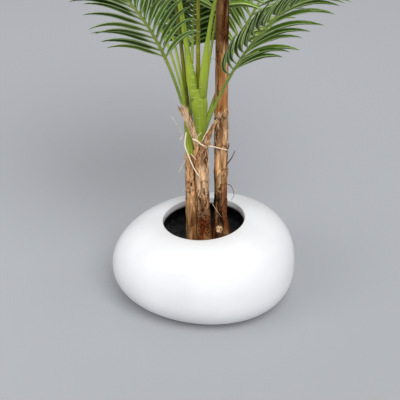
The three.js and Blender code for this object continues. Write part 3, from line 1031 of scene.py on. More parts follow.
@dataclass
class Frond:
    """One feather frond: a stalk that becomes the rib, and two rows of folded leaflets."""

    spec: FrondSpec
    fold: float = 0.75
    rib_radius: float = 0.0038
    rib_tip: float = 0.0012
    leaflet_rows: int = 10
    thickness: float = 0.0006
    points: list[Vector] = field(default_factory=list)

    STALK_SIDES = 10
    STALK_ROWS = 44
    STALK_FLATNESS = 0.82
    STRAP = 0.0055
    STRAP_FOOT = 0.4
    STRAP_FOOT_END = 0.08
    CLASP_END = 0.36
    CLASP_GAP_END = 0.09
    LEAFLET_STEPS = 8
    STAGGER = 0.18
    FALL_RATE = 1.6
    FIRST_END = 0.22
    LONGEST_AT = 0.35
    TIP_LOSS = 0.62
    TIP_POWER = 1.6
    ROOT_WIDTH = 0.34
    WIDEST_AT = 0.3
    POINT_POWER = 2.1
    TILT_END = 0.15
    FRAY = 0.05
    TIP_TURN = 0.16
    TIP_SHARE = 0.36
    CLEARANCE = 0.002
    MERGE = 1e-5
    SPREADS = (-3.5, 3.5)
    RISES = (-4, 4)
    DROOPS = (0.8, 1.2)
    LENGTHS = (0.9, 1.0)
    TWISTS = (-0.35, 0.35)
    WIDTHS = (0.92, 1.06)
    PHASES = (0, 50)

    def __post_init__(self) -> None:
        """Work out the frond's curve."""
        spec = self.spec
        length = spec.petiole + spec.blade
        start = STEMS[spec.stem].axis(spec.z) + Vector((*spec.shift, 0))
        self.points = [start]
        for i in range(CURVE_STEPS):
            s = (i + 0.5) / CURVE_STEPS
            lean = math.radians(spec.lean + spec.bend * s ** BEND_POWER)
            heading = math.radians(spec.heading + spec.sweep * s)
            way = Vector((math.sin(lean) * math.cos(heading),
                          math.sin(lean) * math.sin(heading), math.cos(lean)))
            self.points.append(self.points[-1] + way * (length / CURVE_STEPS))

    def frame_at(self, s: float) -> tuple[Vector, Vector, Vector, Vector]:
        """Return the frond's local frame.

        Args:
            s: Share of the whole length.

        Returns:
            The point, the direction along, the side and the upward direction.
        """
        at = min(CURVE_STEPS - 1, int(s * CURVE_STEPS))
        point = self.points[at].lerp(self.points[at + 1], s * CURVE_STEPS - at)
        ahead = self.points[min(CURVE_STEPS, at + 2)]
        along = (ahead - self.points[max(0, at - 1)]).normalized()
        level = along.cross(Vector((0, 0, 1))).normalized()
        upright = level.cross(along)
        spec = self.spec
        u = max(0.0, (s * (spec.petiole + spec.blade) - spec.petiole) / spec.blade)
        roll = math.radians(spec.roll + spec.twist * u)
        side = level * math.cos(roll) + upright * math.sin(roll)
        return point, along, side, upright * math.cos(roll) - level * math.sin(roll)

    def radius_at(self, s: float) -> float:
        """Work out how thick the stalk and rib are.

        Args:
            s: Share of the whole length.

        Returns:
            The radius.
        """
        spec = self.spec
        neck_at = spec.petiole / (spec.petiole + spec.blade)
        if s >= neck_at:
            return mix(self.rib_radius, self.rib_tip, (s - neck_at) / (1 - neck_at))
        t = s / neck_at
        if t < 0.5:
            return mix(spec.foot, spec.neck, smooth(t * 2))
        return mix(spec.neck, self.rib_radius, (t - 0.5) * 2)

    def length_at(self, u: float) -> float:
        """Work out how long a leaflet is.

        Args:
            u: Share of the blade where the leaflet stands.

        Returns:
            The length.
        """
        root = mix(self.spec.first_share, 1.0, min(1.0, u / self.FIRST_END))
        late = max(0.0, (u - self.LONGEST_AT) / (1 - self.LONGEST_AT))
        return self.spec.leaflet * root * (1 - self.TIP_LOSS * late ** self.TIP_POWER)

    def route(self, u: float, hand: int, wild: random.Random) -> tuple[list[Vector], Vector]:
        """Grow a leaflet's centre line.

        Args:
            u: Share of the blade where the leaflet stands.
            hand: 1 or -1, the side of the rib.
            wild: The frond's own random numbers.

        Returns:
            The points of the line and the rib's direction.
        """
        spec = self.spec
        s = (spec.petiole + spec.blade * u) / (spec.petiole + spec.blade)
        point, along, side, up = self.frame_at(s)
        spread = math.radians(spec.spread + spec.spread_skew * hand - spec.closing * u
                              + wild.uniform(*self.SPREADS))
        rise = math.radians(spec.rise + wild.uniform(*self.RISES))
        flat = along * math.cos(spread) + side * (hand * math.sin(spread))
        way = flat * math.cos(rise) + up * math.sin(rise)
        droop = spec.droop * wild.uniform(*self.DROOPS) + spec.droop_skew * hand
        step = self.length_at(u) * wild.uniform(*self.LENGTHS) / self.LEAFLET_STEPS
        line = [point.copy()]
        for j in range(self.LEAFLET_STEPS):
            share = self.FALL_RATE * (j + 0.5) / self.LEAFLET_STEPS ** 2
            way = way + along * ((spec.curl + spec.curl_skew * hand) * share)
            way.z -= droop * share
            way.normalize()
            line.append(line[-1] + way * step)
        return line, along

    def blocked(self, line: Sequence[Vector]) -> bool:
        """Find out whether a leaflet would run into a trunk or shaft.

        Args:
            line: The leaflet's centre line.

        Returns:
            Whether it would.
        """
        return any(
            (point - stem.axis(point.z)).xy.length
            < max(stem.radius, stem.shaft_tip[0]) + self.CLEARANCE
            for point in line[2:] for stem in STEMS.values()
            if SOIL_TOP < point.z < stem.tip[2])

    def add_leaflet(self, bm: bmesh.types.BMesh, line: Sequence[Vector], along: Vector,
                    wild: random.Random, tilt: float = 0.0) -> None:
        """Add one leaflet as a folded strip in its own outline.

        Args:
            bm: The frond's leaflet mesh.
            line: The leaflet's centre line.
            along: The rib's direction, which the blade lies in.
            wild: The frond's own random numbers.
            tilt: How far the blade turns about its own line, in radians.
        """
        grid = bmesh.ops.create_grid(
            bm, x_segments=2, y_segments=self.leaflet_rows, size=1.0, calc_uvs=True)["verts"]
        steps = len(line) - 1
        twist = wild.uniform(*self.TWISTS)
        Modeller.paint(grid, self.spec.tone.near(wild))
        width = self.spec.leaflet_width * 0.5 * wild.uniform(*self.WIDTHS)
        phase = wild.uniform(*self.PHASES)
        for vert in grid:
            x, t = vert.co.x, (vert.co.y + 1) / 2
            at = min(steps - 1, int(t * steps))
            centre = line[at].lerp(line[at + 1], t * steps - at)
            way = (line[at + 1] - line[at]).normalized()
            across = (along - way * along.dot(way)).normalized()
            face = across.cross(way)
            turn = twist * t + tilt * smooth(t / self.TILT_END)
            across, face = (across * math.cos(turn) + face * math.sin(turn),
                            face * math.cos(turn) - across * math.sin(turn))
            grow = mix(self.ROOT_WIDTH, 1.0, smooth(t / self.WIDEST_AT))
            late = max(0.0, (t - self.WIDEST_AT) / (1 - self.WIDEST_AT))
            shape = grow * max(0.0, 1 - late ** self.POINT_POWER)
            fray = 1 + self.FRAY * noise.noise(Vector((x * 3, t * 26, phase)))
            lift = face * (abs(x) * self.fold * width * shape)
            vert.co = centre + across * (x * width * shape * fray) + lift

    def build_leaflets(self, leaves: Sequence[bpy.types.Material],
                       seed: int) -> bpy.types.Object:
        """Build all leaflets of the frond as one piece.

        Args:
            leaves: The leaflets' materials, in the order of their tones.
            seed: Start of the frond's random numbers.

        Returns:
            The piece.
        """
        wild = random.Random(seed)
        bm = bmesh.new()
        bm.loops.layers.uv.new("UVMap")
        for i in range(self.spec.pairs):
            for hand in (1, -1):
                u = (i + 0.5 + hand * self.STAGGER) / self.spec.pairs
                line, along = self.route(u, hand, wild)
                if hand < 0 and u < self.spec.bare_right or self.blocked(line):
                    continue
                tilt = math.radians(self.spec.tilt) if hand > 0 else 0.0
                self.add_leaflet(bm, line, along, wild, tilt)
        _, along, side, _ = self.frame_at(1.0)
        tip = self.points[-1]
        for turn in (-self.TIP_TURN, self.TIP_TURN):
            way = (along + side * turn).normalized()
            reach = self.spec.leaflet * self.TIP_SHARE / self.LEAFLET_STEPS
            line = [tip + way * (reach * (j - 1)) for j in range(self.LEAFLET_STEPS + 1)]
            self.add_leaflet(bm, line, side, wild)
        bmesh.ops.remove_doubles(bm, verts=bm.verts, dist=self.MERGE)
        piece = Modeller.finish(
            f"leaflets_{self.spec.name}", bm, "frond_green", leaves,
            [f"frond_{self.spec.name}"], recalc=False)
        thick = piece.modifiers.new("thickness", "SOLIDIFY")
        thick.thickness = self.thickness
        thick.offset = 0.0
        return piece

    def build_stalk(self, skin: bpy.types.Material) -> bpy.types.Object:
        """Build the flattened stalk and rib, and the strap that clasps the shaft.

        Args:
            skin: The stalk's material.

        Returns:
            The piece.
        """
        spec = self.spec
        bm = bmesh.new()
        stations = []
        for i in range(self.STALK_ROWS + 1):
            s = i / self.STALK_ROWS
            point, along, side, _ = self.frame_at(s)
            hold = spec.clasp * (1 - smooth(s / self.CLASP_END))
            point = point - Vector((0, hold * smooth(s / self.CLASP_GAP_END) * spec.clasp_gap, 0))
            side = side.lerp(Vector((math.copysign(1.0, side.x), 0, 0)), hold)
            side = (side - along * side.dot(along)).normalized()
            radius = self.radius_at(s)
            foot = mix(1 - self.STRAP_FOOT * spec.clasp, 1.0, smooth(s / self.STRAP_FOOT_END))
            wide = radius * (1 + spec.clasp_width * hold) * foot
            deep = min(radius * self.STALK_FLATNESS, self.STRAP)
            stations.append(Station(point, side, side.cross(along), wide, deep))
        Modeller.sweep(bm, stations, self.STALK_SIDES)
        return Modeller.finish(f"stalk_{spec.name}", bm, "frond_green", [skin],
                               [f"frond_{spec.name}"])


@dataclass(frozen=True)
class Tone:
    """Shares of the bark's special tones, each from 0 to 1."""

    dark: float = 0.0
    rust: float = 0.0
    pale: float = 0.0
    orange: float = 0.0
    # Share of pits, which the bark paints dark as shade.
    pits: float = 0.0

    def shares(self) -> tuple[float, ...]:
        """Return the shares in the order of the two attributes."""
        return self.dark, self.rust, self.pale, self.orange, self.pits


@dataclass(frozen=True)
class Band:
    """A stretch of trunk between two heights that has its own tone."""

    low: float
    high: float
    tone: Tone
    ragged: float = 0.010
    blur: float = 0.006

    MARGIN = 0.08
    WANDER = 2.2
    RAGS = 4.5

    def share(self, angle: float, z: float, seed: float) -> float:
        """Work out how much of the band's tone a place has.

        Args:
            angle: Angle round the trunk.
            z: Height.
            seed: The trunk's own shift of the noise.

        Returns:
            The share, from 0 to 1.
        """
        if not self.low - self.MARGIN < z < self.high + self.MARGIN:
            return 0.0
        turn = Vector((math.cos(angle) * self.WANDER, math.sin(angle) * self.WANDER, seed))
        wander = self.ragged * noise.noise(turn) * 2
        fine = self.ragged * 0.5 * noise.noise(turn * self.RAGS)
        low, high = self.low + wander + fine, self.high + wander - fine
        return smooth((z - low) / self.blur + 0.5) * smooth((high - z) / self.blur + 0.5)


@dataclass(frozen=True)
class Patch:
    """A spot on the trunk with its own tone, and its dent."""

    angle: float
    z: float
    half_width: float
    half_height: float
    tone: Tone
    depth: float = 0.0

    FAR = 3
    GONE_AT = 1.25
    SOFT = 0.5
    RAGGED = 0.5
    RAGS = (300, 220, 9)

    def share(self, angle: float, z: float, radius: float) -> float:
        """Work out how much of the spot's tone a place has.

        Args:
            angle: Angle round the trunk.
            z: Height.
            radius: The trunk's radius.

        Returns:
            The share, from 0 to 1.
        """
        across = abs((angle - self.angle + math.pi) % TURN - math.pi) * radius
        if across > self.FAR * self.half_width or abs(z - self.z) > self.FAR * self.half_height:
            return 0.0
        rags = Vector(a * b for a, b in zip((across, z, self.angle), self.RAGS))
        ragged = 1 + self.RAGGED * noise.noise(rags)
        far = math.hypot(across / self.half_width, (z - self.z) / self.half_height) * ragged
        return smooth((self.GONE_AT - far) / self.SOFT)


@dataclass
class Trunk:
    """A bark-covered trunk with fibrous relief, ragged sheaths, bands of tone and pits."""

    stem: Stem
    seed: float
    sheath_edges: tuple[float, ...]
    bands: tuple[Band, ...]
    patches: tuple[Patch, ...]
    flare: float = 0.0
    rise: float = 0.002
    strand_depth: float = 0.0012

    SIDES = 72
    ROW_PITCH = 0.0021
    SUNK = 0.004
    FLARE_TOP = 0.255
    FLARE_REACH = 0.09
    FLARE_LEAN = 0.5
    SMOOTHED = 0.45
    EDGE_STEP = 0.0017
    EDGE_REACH = 0.002
    EDGE_TURN, EDGE_SHIFT = 2.6, 40
    EDGE_WANDER = 0.014
    EDGE_RAGS = 0.005
    SHEATH_REACH = 0.08
    RIM_RAGGED = 0.007
    RIM_REACH = 0.012
    CLOUD = 0.3
    RIDGES, RIDGE_SHARE = (7, 9), 0.8
    FINE, FINE_SHARE = (21, 42), 0.55
    LUMPS, LUMP_SHARE = (1.6, 30), 0.9
    LEVEL = 0.5

    def grain(self, angle: float, z: float, scales: tuple[float, float]) -> float:
        """Read the trunk's own noise.

        Args:
            angle: Angle round the trunk.
            z: Height.
            scales: How fast the noise changes around and up the trunk.

        Returns:
            The noise, from -1 to 1.
        """
        around, up = scales
        return noise.noise(Vector((math.cos(angle) * around, math.sin(angle) * around,
                                   z * up + self.seed)))

    def relief(self, angle: float, z: float, plain: float) -> float:
        """Return how far the bark stands out.

        Args:
            angle: Angle round the trunk.
            z: Height.
            plain: How much of the smooth orange skin is there.

        Returns:
            The distance from the plain surface.
        """
        x, y = math.cos(angle), math.sin(angle)
        ridge = 1 - 2 * abs(self.grain(angle, z, self.RIDGES))
        fine = self.grain(angle, z, self.FINE)
        lumps = self.grain(angle, z, self.LUMPS)
        out = (self.RIDGE_SHARE * ridge + self.FINE_SHARE * fine + self.LUMP_SHARE * lumps
               - self.LEVEL) * self.strand_depth * (1 - self.SMOOTHED * plain)
        flared = smooth((self.FLARE_TOP - z) / self.FLARE_REACH)
        out += self.flare * flared * (1 + self.FLARE_LEAN * x)
        for edge in self.sheath_edges:
            turn = Vector((x * self.EDGE_TURN, y * self.EDGE_TURN, edge * self.EDGE_SHIFT))
            wander = self.EDGE_WANDER * noise.noise(turn)
            below = edge + wander + self.EDGE_RAGS * noise.noise(turn * 5) - z
            out += (self.EDGE_STEP * smooth(below / self.EDGE_REACH)
                    * smooth(1 - below / self.SHEATH_REACH))
        for patch in self.patches:
            if patch.depth:
                out -= patch.depth * patch.share(angle, z, self.stem.radius)
        return out

    def shares(self, angle: float, z: float) -> list[float]:
        """Work out the shares of the bark's special tones.

        Args:
            angle: Angle round the trunk.
            z: Height.

        Returns:
            The shares in the order of the two attributes.
        """
        turn = Vector((math.cos(angle) * 1.6, math.sin(angle) * 1.6, z * 16 + self.seed))
        cloud = noise.noise(turn)
        grain = noise.noise(Vector((turn.x * 7, turn.y * 7, z * 60)))
        total = [self.CLOUD * smooth(cloud * 2.4 - 0.2), 0.0,
                 self.CLOUD * smooth(-cloud * 3 - 0.3), 0.0, 0.0]
        for band in self.bands:
            share = band.share(angle, z, self.seed) * (0.85 + 0.6 * cloud + 0.35 * grain)
            total = [max(a, b * share) for a, b in zip(total, band.tone.shares())]
        for patch in self.patches:
            share = patch.share(angle, z, self.stem.radius)
            total = [mix(a, b, share) for a, b in zip(total, patch.tone.shares())]
        return [min(1.0, max(0.0, value)) for value in total]

    def build(self, bark: bpy.types.Material) -> bpy.types.Object:
        """Build the trunk.

        Args:
            bark: The bark material.

        Returns:
            The piece.
        """
        bottom, top = SOIL_TOP - self.SUNK, self.stem.bark[2] + self.rise
        rows = int((top - bottom) / self.ROW_PITCH)
        stations = []
        for i in range(rows + 1):
            z = mix(bottom, top, i / rows)
            size = self.stem.trunk_radius(max(z, SOIL_TOP))
            stations.append(self.stem.station(z, size, size))
        bm = Modeller.limb(stations, self.SIDES)
        zone = bm.loops.layers.float_color.new("zone")
        orange_and_pit_shade = bm.loops.layers.float_color.new("orange_and_pit_shade")
        for vert in bm.verts:
            arm, angle = self.stem.around(vert.co)
            ragged = self.RIM_RAGGED * noise.noise(Vector((angle * 4, self.seed, 0)))
            dark, rust, pale, orange, pits = self.shares(angle, vert.co.z)
            out = arm * self.relief(angle, vert.co.z, orange)
            for loop in vert.link_loops:
                loop[zone] = (dark, rust, pale, 1.0)
                loop[orange_and_pit_shade] = (orange, pits, 0.0, 1.0)
            rim = smooth((vert.co.z - top + self.RIM_REACH) / self.RIM_REACH)
            vert.co += Vector((out.x, out.y, ragged * rim))
        return Modeller.finish(f"bark_{self.stem.name}", bm, "bark", [bark],
                               [f"trunk_{self.stem.name}"], recalc=False)


@dataclass
class Shaft:
    """The smooth green shaft above the bark."""

    stem: Stem
    rows: int = 40
    sides: int = 40
    close_from: float = 0.7
    closing: float = 0.75
    sunk: float = 0.006
    margin: float = 0.0011
    ribs: int = 14
    rib_height: float = 0.0002

    MARGIN_FOOT = 1.3
    MARGIN_TURN = 1.1
    MARGIN_AT = 0.35
    MARGIN_WIDTH = 0.3

    def build(self, skin: bpy.types.Material) -> bpy.types.Object:
        """Build the shaft with overlapping sheath margins.

        Args:
            skin: The green skin material.

        Returns:
            The piece.
        """
        bottom, top = self.stem.bark[2] - self.sunk, self.stem.tip[2]
        stations = []
        for i in range(self.rows + 1):
            t = i / self.rows
            z = mix(bottom, top, t)
            wide, depth = self.stem.shaft_sizes(max(z, self.stem.bark[2]))
            close = 1 - max(0.0, (t - self.close_from) / (1 - self.close_from)) ** 2 * self.closing
            stations.append(self.stem.station(z, wide * close, depth * close))
        bm = Modeller.limb(stations, self.sides)
        for vert in bm.verts:
            arm, angle = self.stem.around(vert.co)
            t = (vert.co.z - bottom) / (top - bottom)
            turned = (angle + self.MARGIN_FOOT + self.MARGIN_TURN * t) % TURN
            ridge = self.margin * bump_at(turned, self.MARGIN_AT, self.MARGIN_WIDTH)
            push = arm * (ridge + self.rib_height * math.sin(angle * self.ribs))
            vert.co += Vector((push.x, push.y, 0))
        return Modeller.finish(f"skin_{self.stem.name}", bm, "shaft_green", [skin],
                               [f"shaft_{self.stem.name}"], recalc=False)


@dataclass
class RingMarks:
    """Short level scars moulded on the middle shaft and its two straps."""

    places: tuple[tuple[float, float, float, float], ...]

    SIZE = 0.0005
    STEPS = 6
    SIDES = 6
    BACK = 18
    SAG = 12

    def build(self, mark: bpy.types.Material) -> bpy.types.Object:
        """Build the scars as thin ribs that follow the skin's round.

        Args:
            mark: The scars' material.

        Returns:
            The piece.
        """
        bm = bmesh.new()
        for x, y, z, length in self.places:
            offs = [(i / self.STEPS - 0.5) * length for i in range(self.STEPS + 1)]
            points = [
                Vector((x + off, y + off * off * self.BACK, z - off * off * self.SAG))
                for off in offs
            ]
            Modeller.tube(bm, points, lambda t: self.SIZE * mix(0.35, 1.0, math.sin(math.pi * t)),
                          self.SIDES)
        return Modeller.finish("ring_marks", bm, "shaft_green", [mark])


@dataclass
class Husk:
    """A dry sheath that peels off the middle trunk, torn to strands at its end."""

    name: str
    start: Point
    bend: Point
    end: Point
    widths: tuple[float, float]
    strands: int
    thickness: float = 0.0011

    ROWS = 46
    COLUMNS = 22
    RIPPLE = 0.14
    WAVE = 0.0018
    TORN = 0.3
    STRAND_STEPS = 7
    STRAND_SIDES = 5
    LOOSE_FROM = 0.95

    def at(self, t: float) -> Vector:
        """Return the point of the husk's centre line at a share of its length."""
        start, bend, end = Vector(self.start), Vector(self.bend), Vector(self.end)
        return start * (1 - t) ** 2 + bend * (2 * t * (1 - t)) + end * t ** 2

    def place(self, x: float, t: float, proud: float = 0.0) -> Vector:
        """Return a point of the curled sheet.

        Args:
            x: Place across, from -1 to 1.
            t: Share of the length.
            proud: How far the point stands in front of the sheet.

        Returns:
            The point.
        """
        centre = self.at(t)
        along = (self.at(min(1.0, t + 0.02)) - self.at(max(0.0, t - 0.02))).normalized()
        out = (Vector((0, -1, 0)) + along * along.y).normalized()
        width = mix(*self.widths, t)
        half = width / 2 * (1 + self.RIPPLE * noise.noise(Vector((t * 14, x, 3))))
        wave = self.WAVE * noise.noise(Vector((x * 5, t * 8, width * 900)))
        bend = -(x / 2) ** 2 * width
        return centre + along.cross(out) * (x * half) + out * (bend + wave * (0.4 + t) + proud)

    def build(self, *tints: bpy.types.Material) -> bpy.types.Object:
        """Build the husk.

        Args:
            tints: The sheet's material, then those of its lighter and darker strands.

        Returns:
            The piece.
        """
        bm = bmesh.new()
        grid = bmesh.ops.create_grid(
            bm, x_segments=self.COLUMNS, y_segments=self.ROWS, size=1.0)["verts"]
        for vert in grid:
            x, t = vert.co.x, (vert.co.y + 1) / 2
            torn = max(0.0, noise.noise(Vector((x * 4.3, 0, len(self.name)))) + 0.15)
            torn += max(0.0, noise.noise(Vector((x * 17, 5, len(self.name))))) * 0.6
            vert.co = self.place(x, t * (1 - min(self.TORN, self.TORN * torn) * t * t))
        bmesh.ops.solidify(bm, geom=bm.faces[:], thickness=self.thickness)
        wild = random.Random(len(self.name) + SEED)
        for _ in range(self.strands):
            self.add_strand(bm, wild)
        return Modeller.finish(f"peel_{self.name}", bm, "husk", tints, [self.name])

    def add_strand(self, bm: bmesh.types.BMesh, wild: random.Random) -> None:
        """Lay one fibre along the sheet, some of them past its torn end.

        Args:
            bm: The husk's mesh.
            wild: The husk's random numbers.
        """
        x = wild.uniform(-0.95, 0.95)
        first = wild.uniform(0.0, 0.6)
        last = min(1.0, first + wild.uniform(0.25, 0.6))
        drift = wild.uniform(-0.25, 0.25)
        side = wild.choice((0.0006, 0.0006, -0.0014))
        points = [
            self.place(x + drift * i / self.STRAND_STEPS,
                       mix(first, last, i / self.STRAND_STEPS), side)
            for i in range(self.STRAND_STEPS + 1)
        ]
        if last > self.LOOSE_FROM:
            way = (points[-1] - points[-2]).normalized()
            points.append(points[-1] + way * wild.uniform(0.002, 0.007))
        size = wild.uniform(0.0004, 0.0009)
        made = Modeller.tube(bm, points, lambda t: size * (1 - 0.5 * t), self.STRAND_SIDES)
        Modeller.paint(made, wild.choice((0, 0, 1, 2)))


@dataclass(frozen=True)
class Strand:
    """One loose strand: its thickness and its route."""

    radius: float
    route: tuple[Point, ...]


@dataclass
class LooseFibres:
    """Strands on the bark, and the straws and twigs that hang about the trunks."""

    straw: tuple[Strand, ...]
    twigs: tuple[Strand, ...]
    lying_count: int = 330
    hair_count: int = 110
    hair_radius: float = 0.0004

    TINTS = (0, 0, 0, 1, 2)
    LYING_STEMS = ("middle", "middle", "middle", "left", "tall", "tall")
    LYING_TOPS = {"middle": 0.47, "left": 0.43, "tall": 0.565}
    LYING_FALL = 0.075
    HAIR_STEMS = ("middle", "left", "tall")
    HAIR_TOPS = {"middle": 0.474, "left": 0.44, "tall": 0.565}
    HAIR_FALL = 0.06
    HAIR_ROOT = 0.98
    ROUTE_STEPS = 5
    ROUTE_SIDES = 6
    FIBRE_SIDES = 4

    def build(self, straw: bpy.types.Material, twig: bpy.types.Material,
              fibre: bpy.types.Material) -> None:
        """Build the straws, the twigs and the bark's own strands.

        Args:
            straw: Material of the pale straws.
            twig: Material of the twigs.
            fibre: Material of the bark's strands.
        """
        for name, strands, material in (("straw_strands", self.straw, straw),
                                        ("bark_twigs", self.twigs, twig)):
            bm = bmesh.new()
            for strand in strands:
                route = Modeller.smooth_route(strand.route, self.ROUTE_STEPS)
                Modeller.tube(bm, route, lambda t, size=strand.radius: size * (1 - 0.5 * t),
                              self.ROUTE_SIDES)
            Modeller.finish(name, bm, "husk" if material == straw else "bark", [material])
        bm = bmesh.new()
        wild = random.Random(SEED)
        for _ in range(self.lying_count):
            self.add_lying(bm, wild)
        for i in range(self.hair_count):
            self.add_hair(bm, wild, STEMS[self.HAIR_STEMS[i % len(self.HAIR_STEMS)]])
        Modeller.finish("bark_fibres", bm, "husk", [fibre, straw, twig])

    def add_lying(self, bm: bmesh.types.BMesh, wild: random.Random) -> None:
        """Lay one strand along the bark of a trunk.

        Args:
            bm: The strands' mesh.
            wild: The strands' random numbers.
        """
        stem = STEMS[wild.choice(self.LYING_STEMS)]
        z = self.LYING_TOPS[stem.name] - abs(wild.gauss(0, self.LYING_FALL))
        length = wild.uniform(0.012, 0.05)
        angle, drift = wild.uniform(0, TURN), wild.uniform(-0.5, 0.5)
        points = []
        for t in (0, 0.2, 0.4, 0.6, 0.8, 1):
            place = max(SOIL_TOP, z - length * t)
            turn = angle + drift * t
            proud = stem.trunk_radius(place) + 0.0012 + 0.0008 * math.sin(math.pi * t)
            out = Vector((math.cos(turn), math.sin(turn), 0))
            points.append(stem.axis(place) + out * proud)
        size = wild.uniform(0.00035, 0.0009)
        made = Modeller.tube(bm, points, lambda t: size * (1 - 0.6 * t), self.FIBRE_SIDES)
        Modeller.paint(made, wild.choice(self.TINTS))

    def add_hair(self, bm: bmesh.types.BMesh, wild: random.Random, stem: Stem) -> None:
        """Add one short hair that frays from a trunk.

        Args:
            bm: The strands' mesh.
            wild: The strands' random numbers.
            stem: The stem that carries the hair.
        """
        z = self.HAIR_TOPS[stem.name] - abs(wild.gauss(0, self.HAIR_FALL))
        angle = wild.uniform(0, TURN)
        out = Vector((math.cos(angle), math.sin(angle), 0))
        base = stem.axis(z) + out * stem.trunk_radius(z) * self.HAIR_ROOT
        length = wild.uniform(0.008, 0.026)
        lift = wild.uniform(-0.8, 0.9)
        bow = Vector((-out.y, out.x, 0)) * wild.uniform(-0.4, 0.4)
        points = [
            base + (out * (0.35 * t) + Vector((0, 0, lift)) * t + bow * t * t) * length
            for t in (0, 0.33, 0.66, 1)
        ]
        made = Modeller.tube(bm, points, lambda t: self.hair_radius * (1 - 0.7 * t),
                             self.FIBRE_SIDES)
        Modeller.paint(made, wild.choice(self.TINTS))


@dataclass
class PebblePot:
    """The low pebble-shaped pot with a tilted round mouth and a turned-in collar."""

    half_width: float = 0.250
    half_depth: float = 0.209
    egg: float = 0.117
    turn: float = math.radians(5.5)
    belly_z: float = 0.113
    rim_radius: float = 0.112
    rim_z: float = 0.248
    rim_slope: float = 0.061
    foot: tuple[float, float] = (0.110, 0.092)
    foot_shift: float = 0.010
    shoulder_power: float = 2.15
    hip_power: float = 2.35
    end_power: float = 0.15
    lip: float = 0.003
    collar_depth: float = 0.020
    wall: float = 0.012

    SEGMENTS = 144
    SHADE_SHEET_ROWS = 14
    SHADE_SHEET_GAP = 0.0016
    HIP_ROWS = 26
    SHOULDER_ROWS = 34
    LIP_ROWS = 6
    COLLAR_DROPS = (0.008, 0.014)
    UNDER_SHARES = (0.35, 0.7, 1.0)
    WALL_SHARE = 0.3
    HOLLOW_Z = 0.158
    ROOF_RISE = 0.02
    FILM = 0.0006

    def belly(self, angle: float) -> Vector:
        """Trace the belly's egg-shaped outline, seen from above.

        Args:
            angle: Angle round the pot.

        Returns:
            The outline's point, with x and y only.
        """
        x = self.half_width * math.cos(angle)
        y = self.half_depth * math.sin(angle) * (1 + self.egg * math.cos(angle))
        c, s = math.cos(self.turn), math.sin(self.turn)
        return Vector((x * c - y * s, x * s + y * c))

    def mouth_z(self, x: float) -> float:
        """Return the rim's height at x."""
        return self.rim_z + self.rim_slope * x

    def bulge(self, angle: float, t: float, power: float, end: Vector) -> Vector:
        """Place a point of the round skin above or below the belly.

        Args:
            angle: Angle round the pot.
            t: Share of the way from the belly to the end.
            power: How full the round is.
            end: Where it ends, at the rim or at the foot.

        Returns:
            The point.
        """
        power = 2 / (power + self.end_power * math.cos(angle))
        swing = t * math.pi / 2
        flat = self.belly(angle).lerp(end.xy, 1 - max(0.0, math.cos(swing)) ** power)
        return Vector((flat.x, flat.y, mix(self.belly_z, end.z, math.sin(swing) ** power)))

    def shoulder(self, angle: float, t: float) -> Vector:
        """Return the shoulder's point, from the belly at t 0 to the rim at t 1."""
        return self.bulge(angle, t, self.shoulder_power, self.inside(angle, 0, 0))

    def hip(self, angle: float, t: float) -> Vector:
        """Place a point of the hip.

        Args:
            angle: Angle round the pot.
            t: Share of the way from the belly to the foot.

        Returns:
            The point.
        """
        foot = Vector((self.foot_shift + self.foot[0] * math.cos(angle),
                       self.foot[1] * math.sin(angle), 0))
        return self.bulge(angle, t, self.hip_power, foot)

    def rings(self) -> list[Callable[[float], Vector]]:
        """List the pot's rings from the foot over the rim down into the hollow.

        Returns:
            For each ring, its point as a function of the angle.
        """
        rings = [lambda a, t=i / self.HIP_ROWS: self.hip(a, t)
                 for i in range(self.HIP_ROWS, 0, -1)]
        rings += [lambda a, t=i / self.SHOULDER_ROWS: self.shoulder(a, t)
                  for i in range(self.SHOULDER_ROWS)]
        for i in range(self.LIP_ROWS + 1):
            swing = math.pi / 2 * i / self.LIP_ROWS
            inset = self.lip * math.sin(swing)
            rings.append(lambda a, r=inset, d=self.lip * (1 - math.cos(swing)): self.inside(a, r, d))
        for drop in (*self.COLLAR_DROPS, self.collar_depth):
            rings.append(lambda a, d=drop: self.inside(a, self.lip, d))
        for share in self.UNDER_SHARES:
            rings.append(lambda a, k=share: self.under(a, k))
        return rings

    def inside(self, angle: float, inset: float, drop: float) -> Vector:
        """Place a point of the turned-in collar.

        Args:
            angle: Angle round the pot.
            inset: Distance inwards from the rim.
            drop: Distance below the rim.

        Returns:
            The point.
        """
        reach = self.rim_radius - inset
        x = self.rim_radius * math.cos(angle)
        return Vector((reach * math.cos(angle), reach * math.sin(angle), self.mouth_z(x) - drop))

    def under(self, angle: float, share: float) -> Vector:
        """Place a point of the hollow's roof and wall.

        Args:
            angle: Angle round the pot.
            share: Share of the way from the collar to below the soil's edge.

        Returns:
            The point.
        """
        collar = self.inside(angle, self.lip, self.collar_depth)
        wall = self.shoulder(angle, self.WALL_SHARE)
        inner = 1 - self.wall / wall.xy.length
        low = Vector((wall.x * inner, wall.y * inner, self.HOLLOW_Z))
        return collar.lerp(low, share) + Vector((0, 0, self.ROOF_RISE * math.sin(math.pi * share)))

    def build(self, coat: bpy.types.Material) -> bpy.types.Object:
        """Spin a profile and shape it into the pebble.

        Args:
            coat: The white coat.

        Returns:
            The piece.
        """
        rings = self.rings()
        bm = Modeller.spin([(1, 0, i) for i in range(len(rings))], self.SEGMENTS)
        for vert in bm.verts:
            vert.co = rings[round(vert.co.z)](math.atan2(vert.co.y, vert.co.x))
        bmesh.ops.holes_fill(bm, edges=[e for e in bm.edges if e.is_boundary], sides=0)
        return Modeller.finish("pebble_shell", bm, "pot_white", [coat], ["pot"])

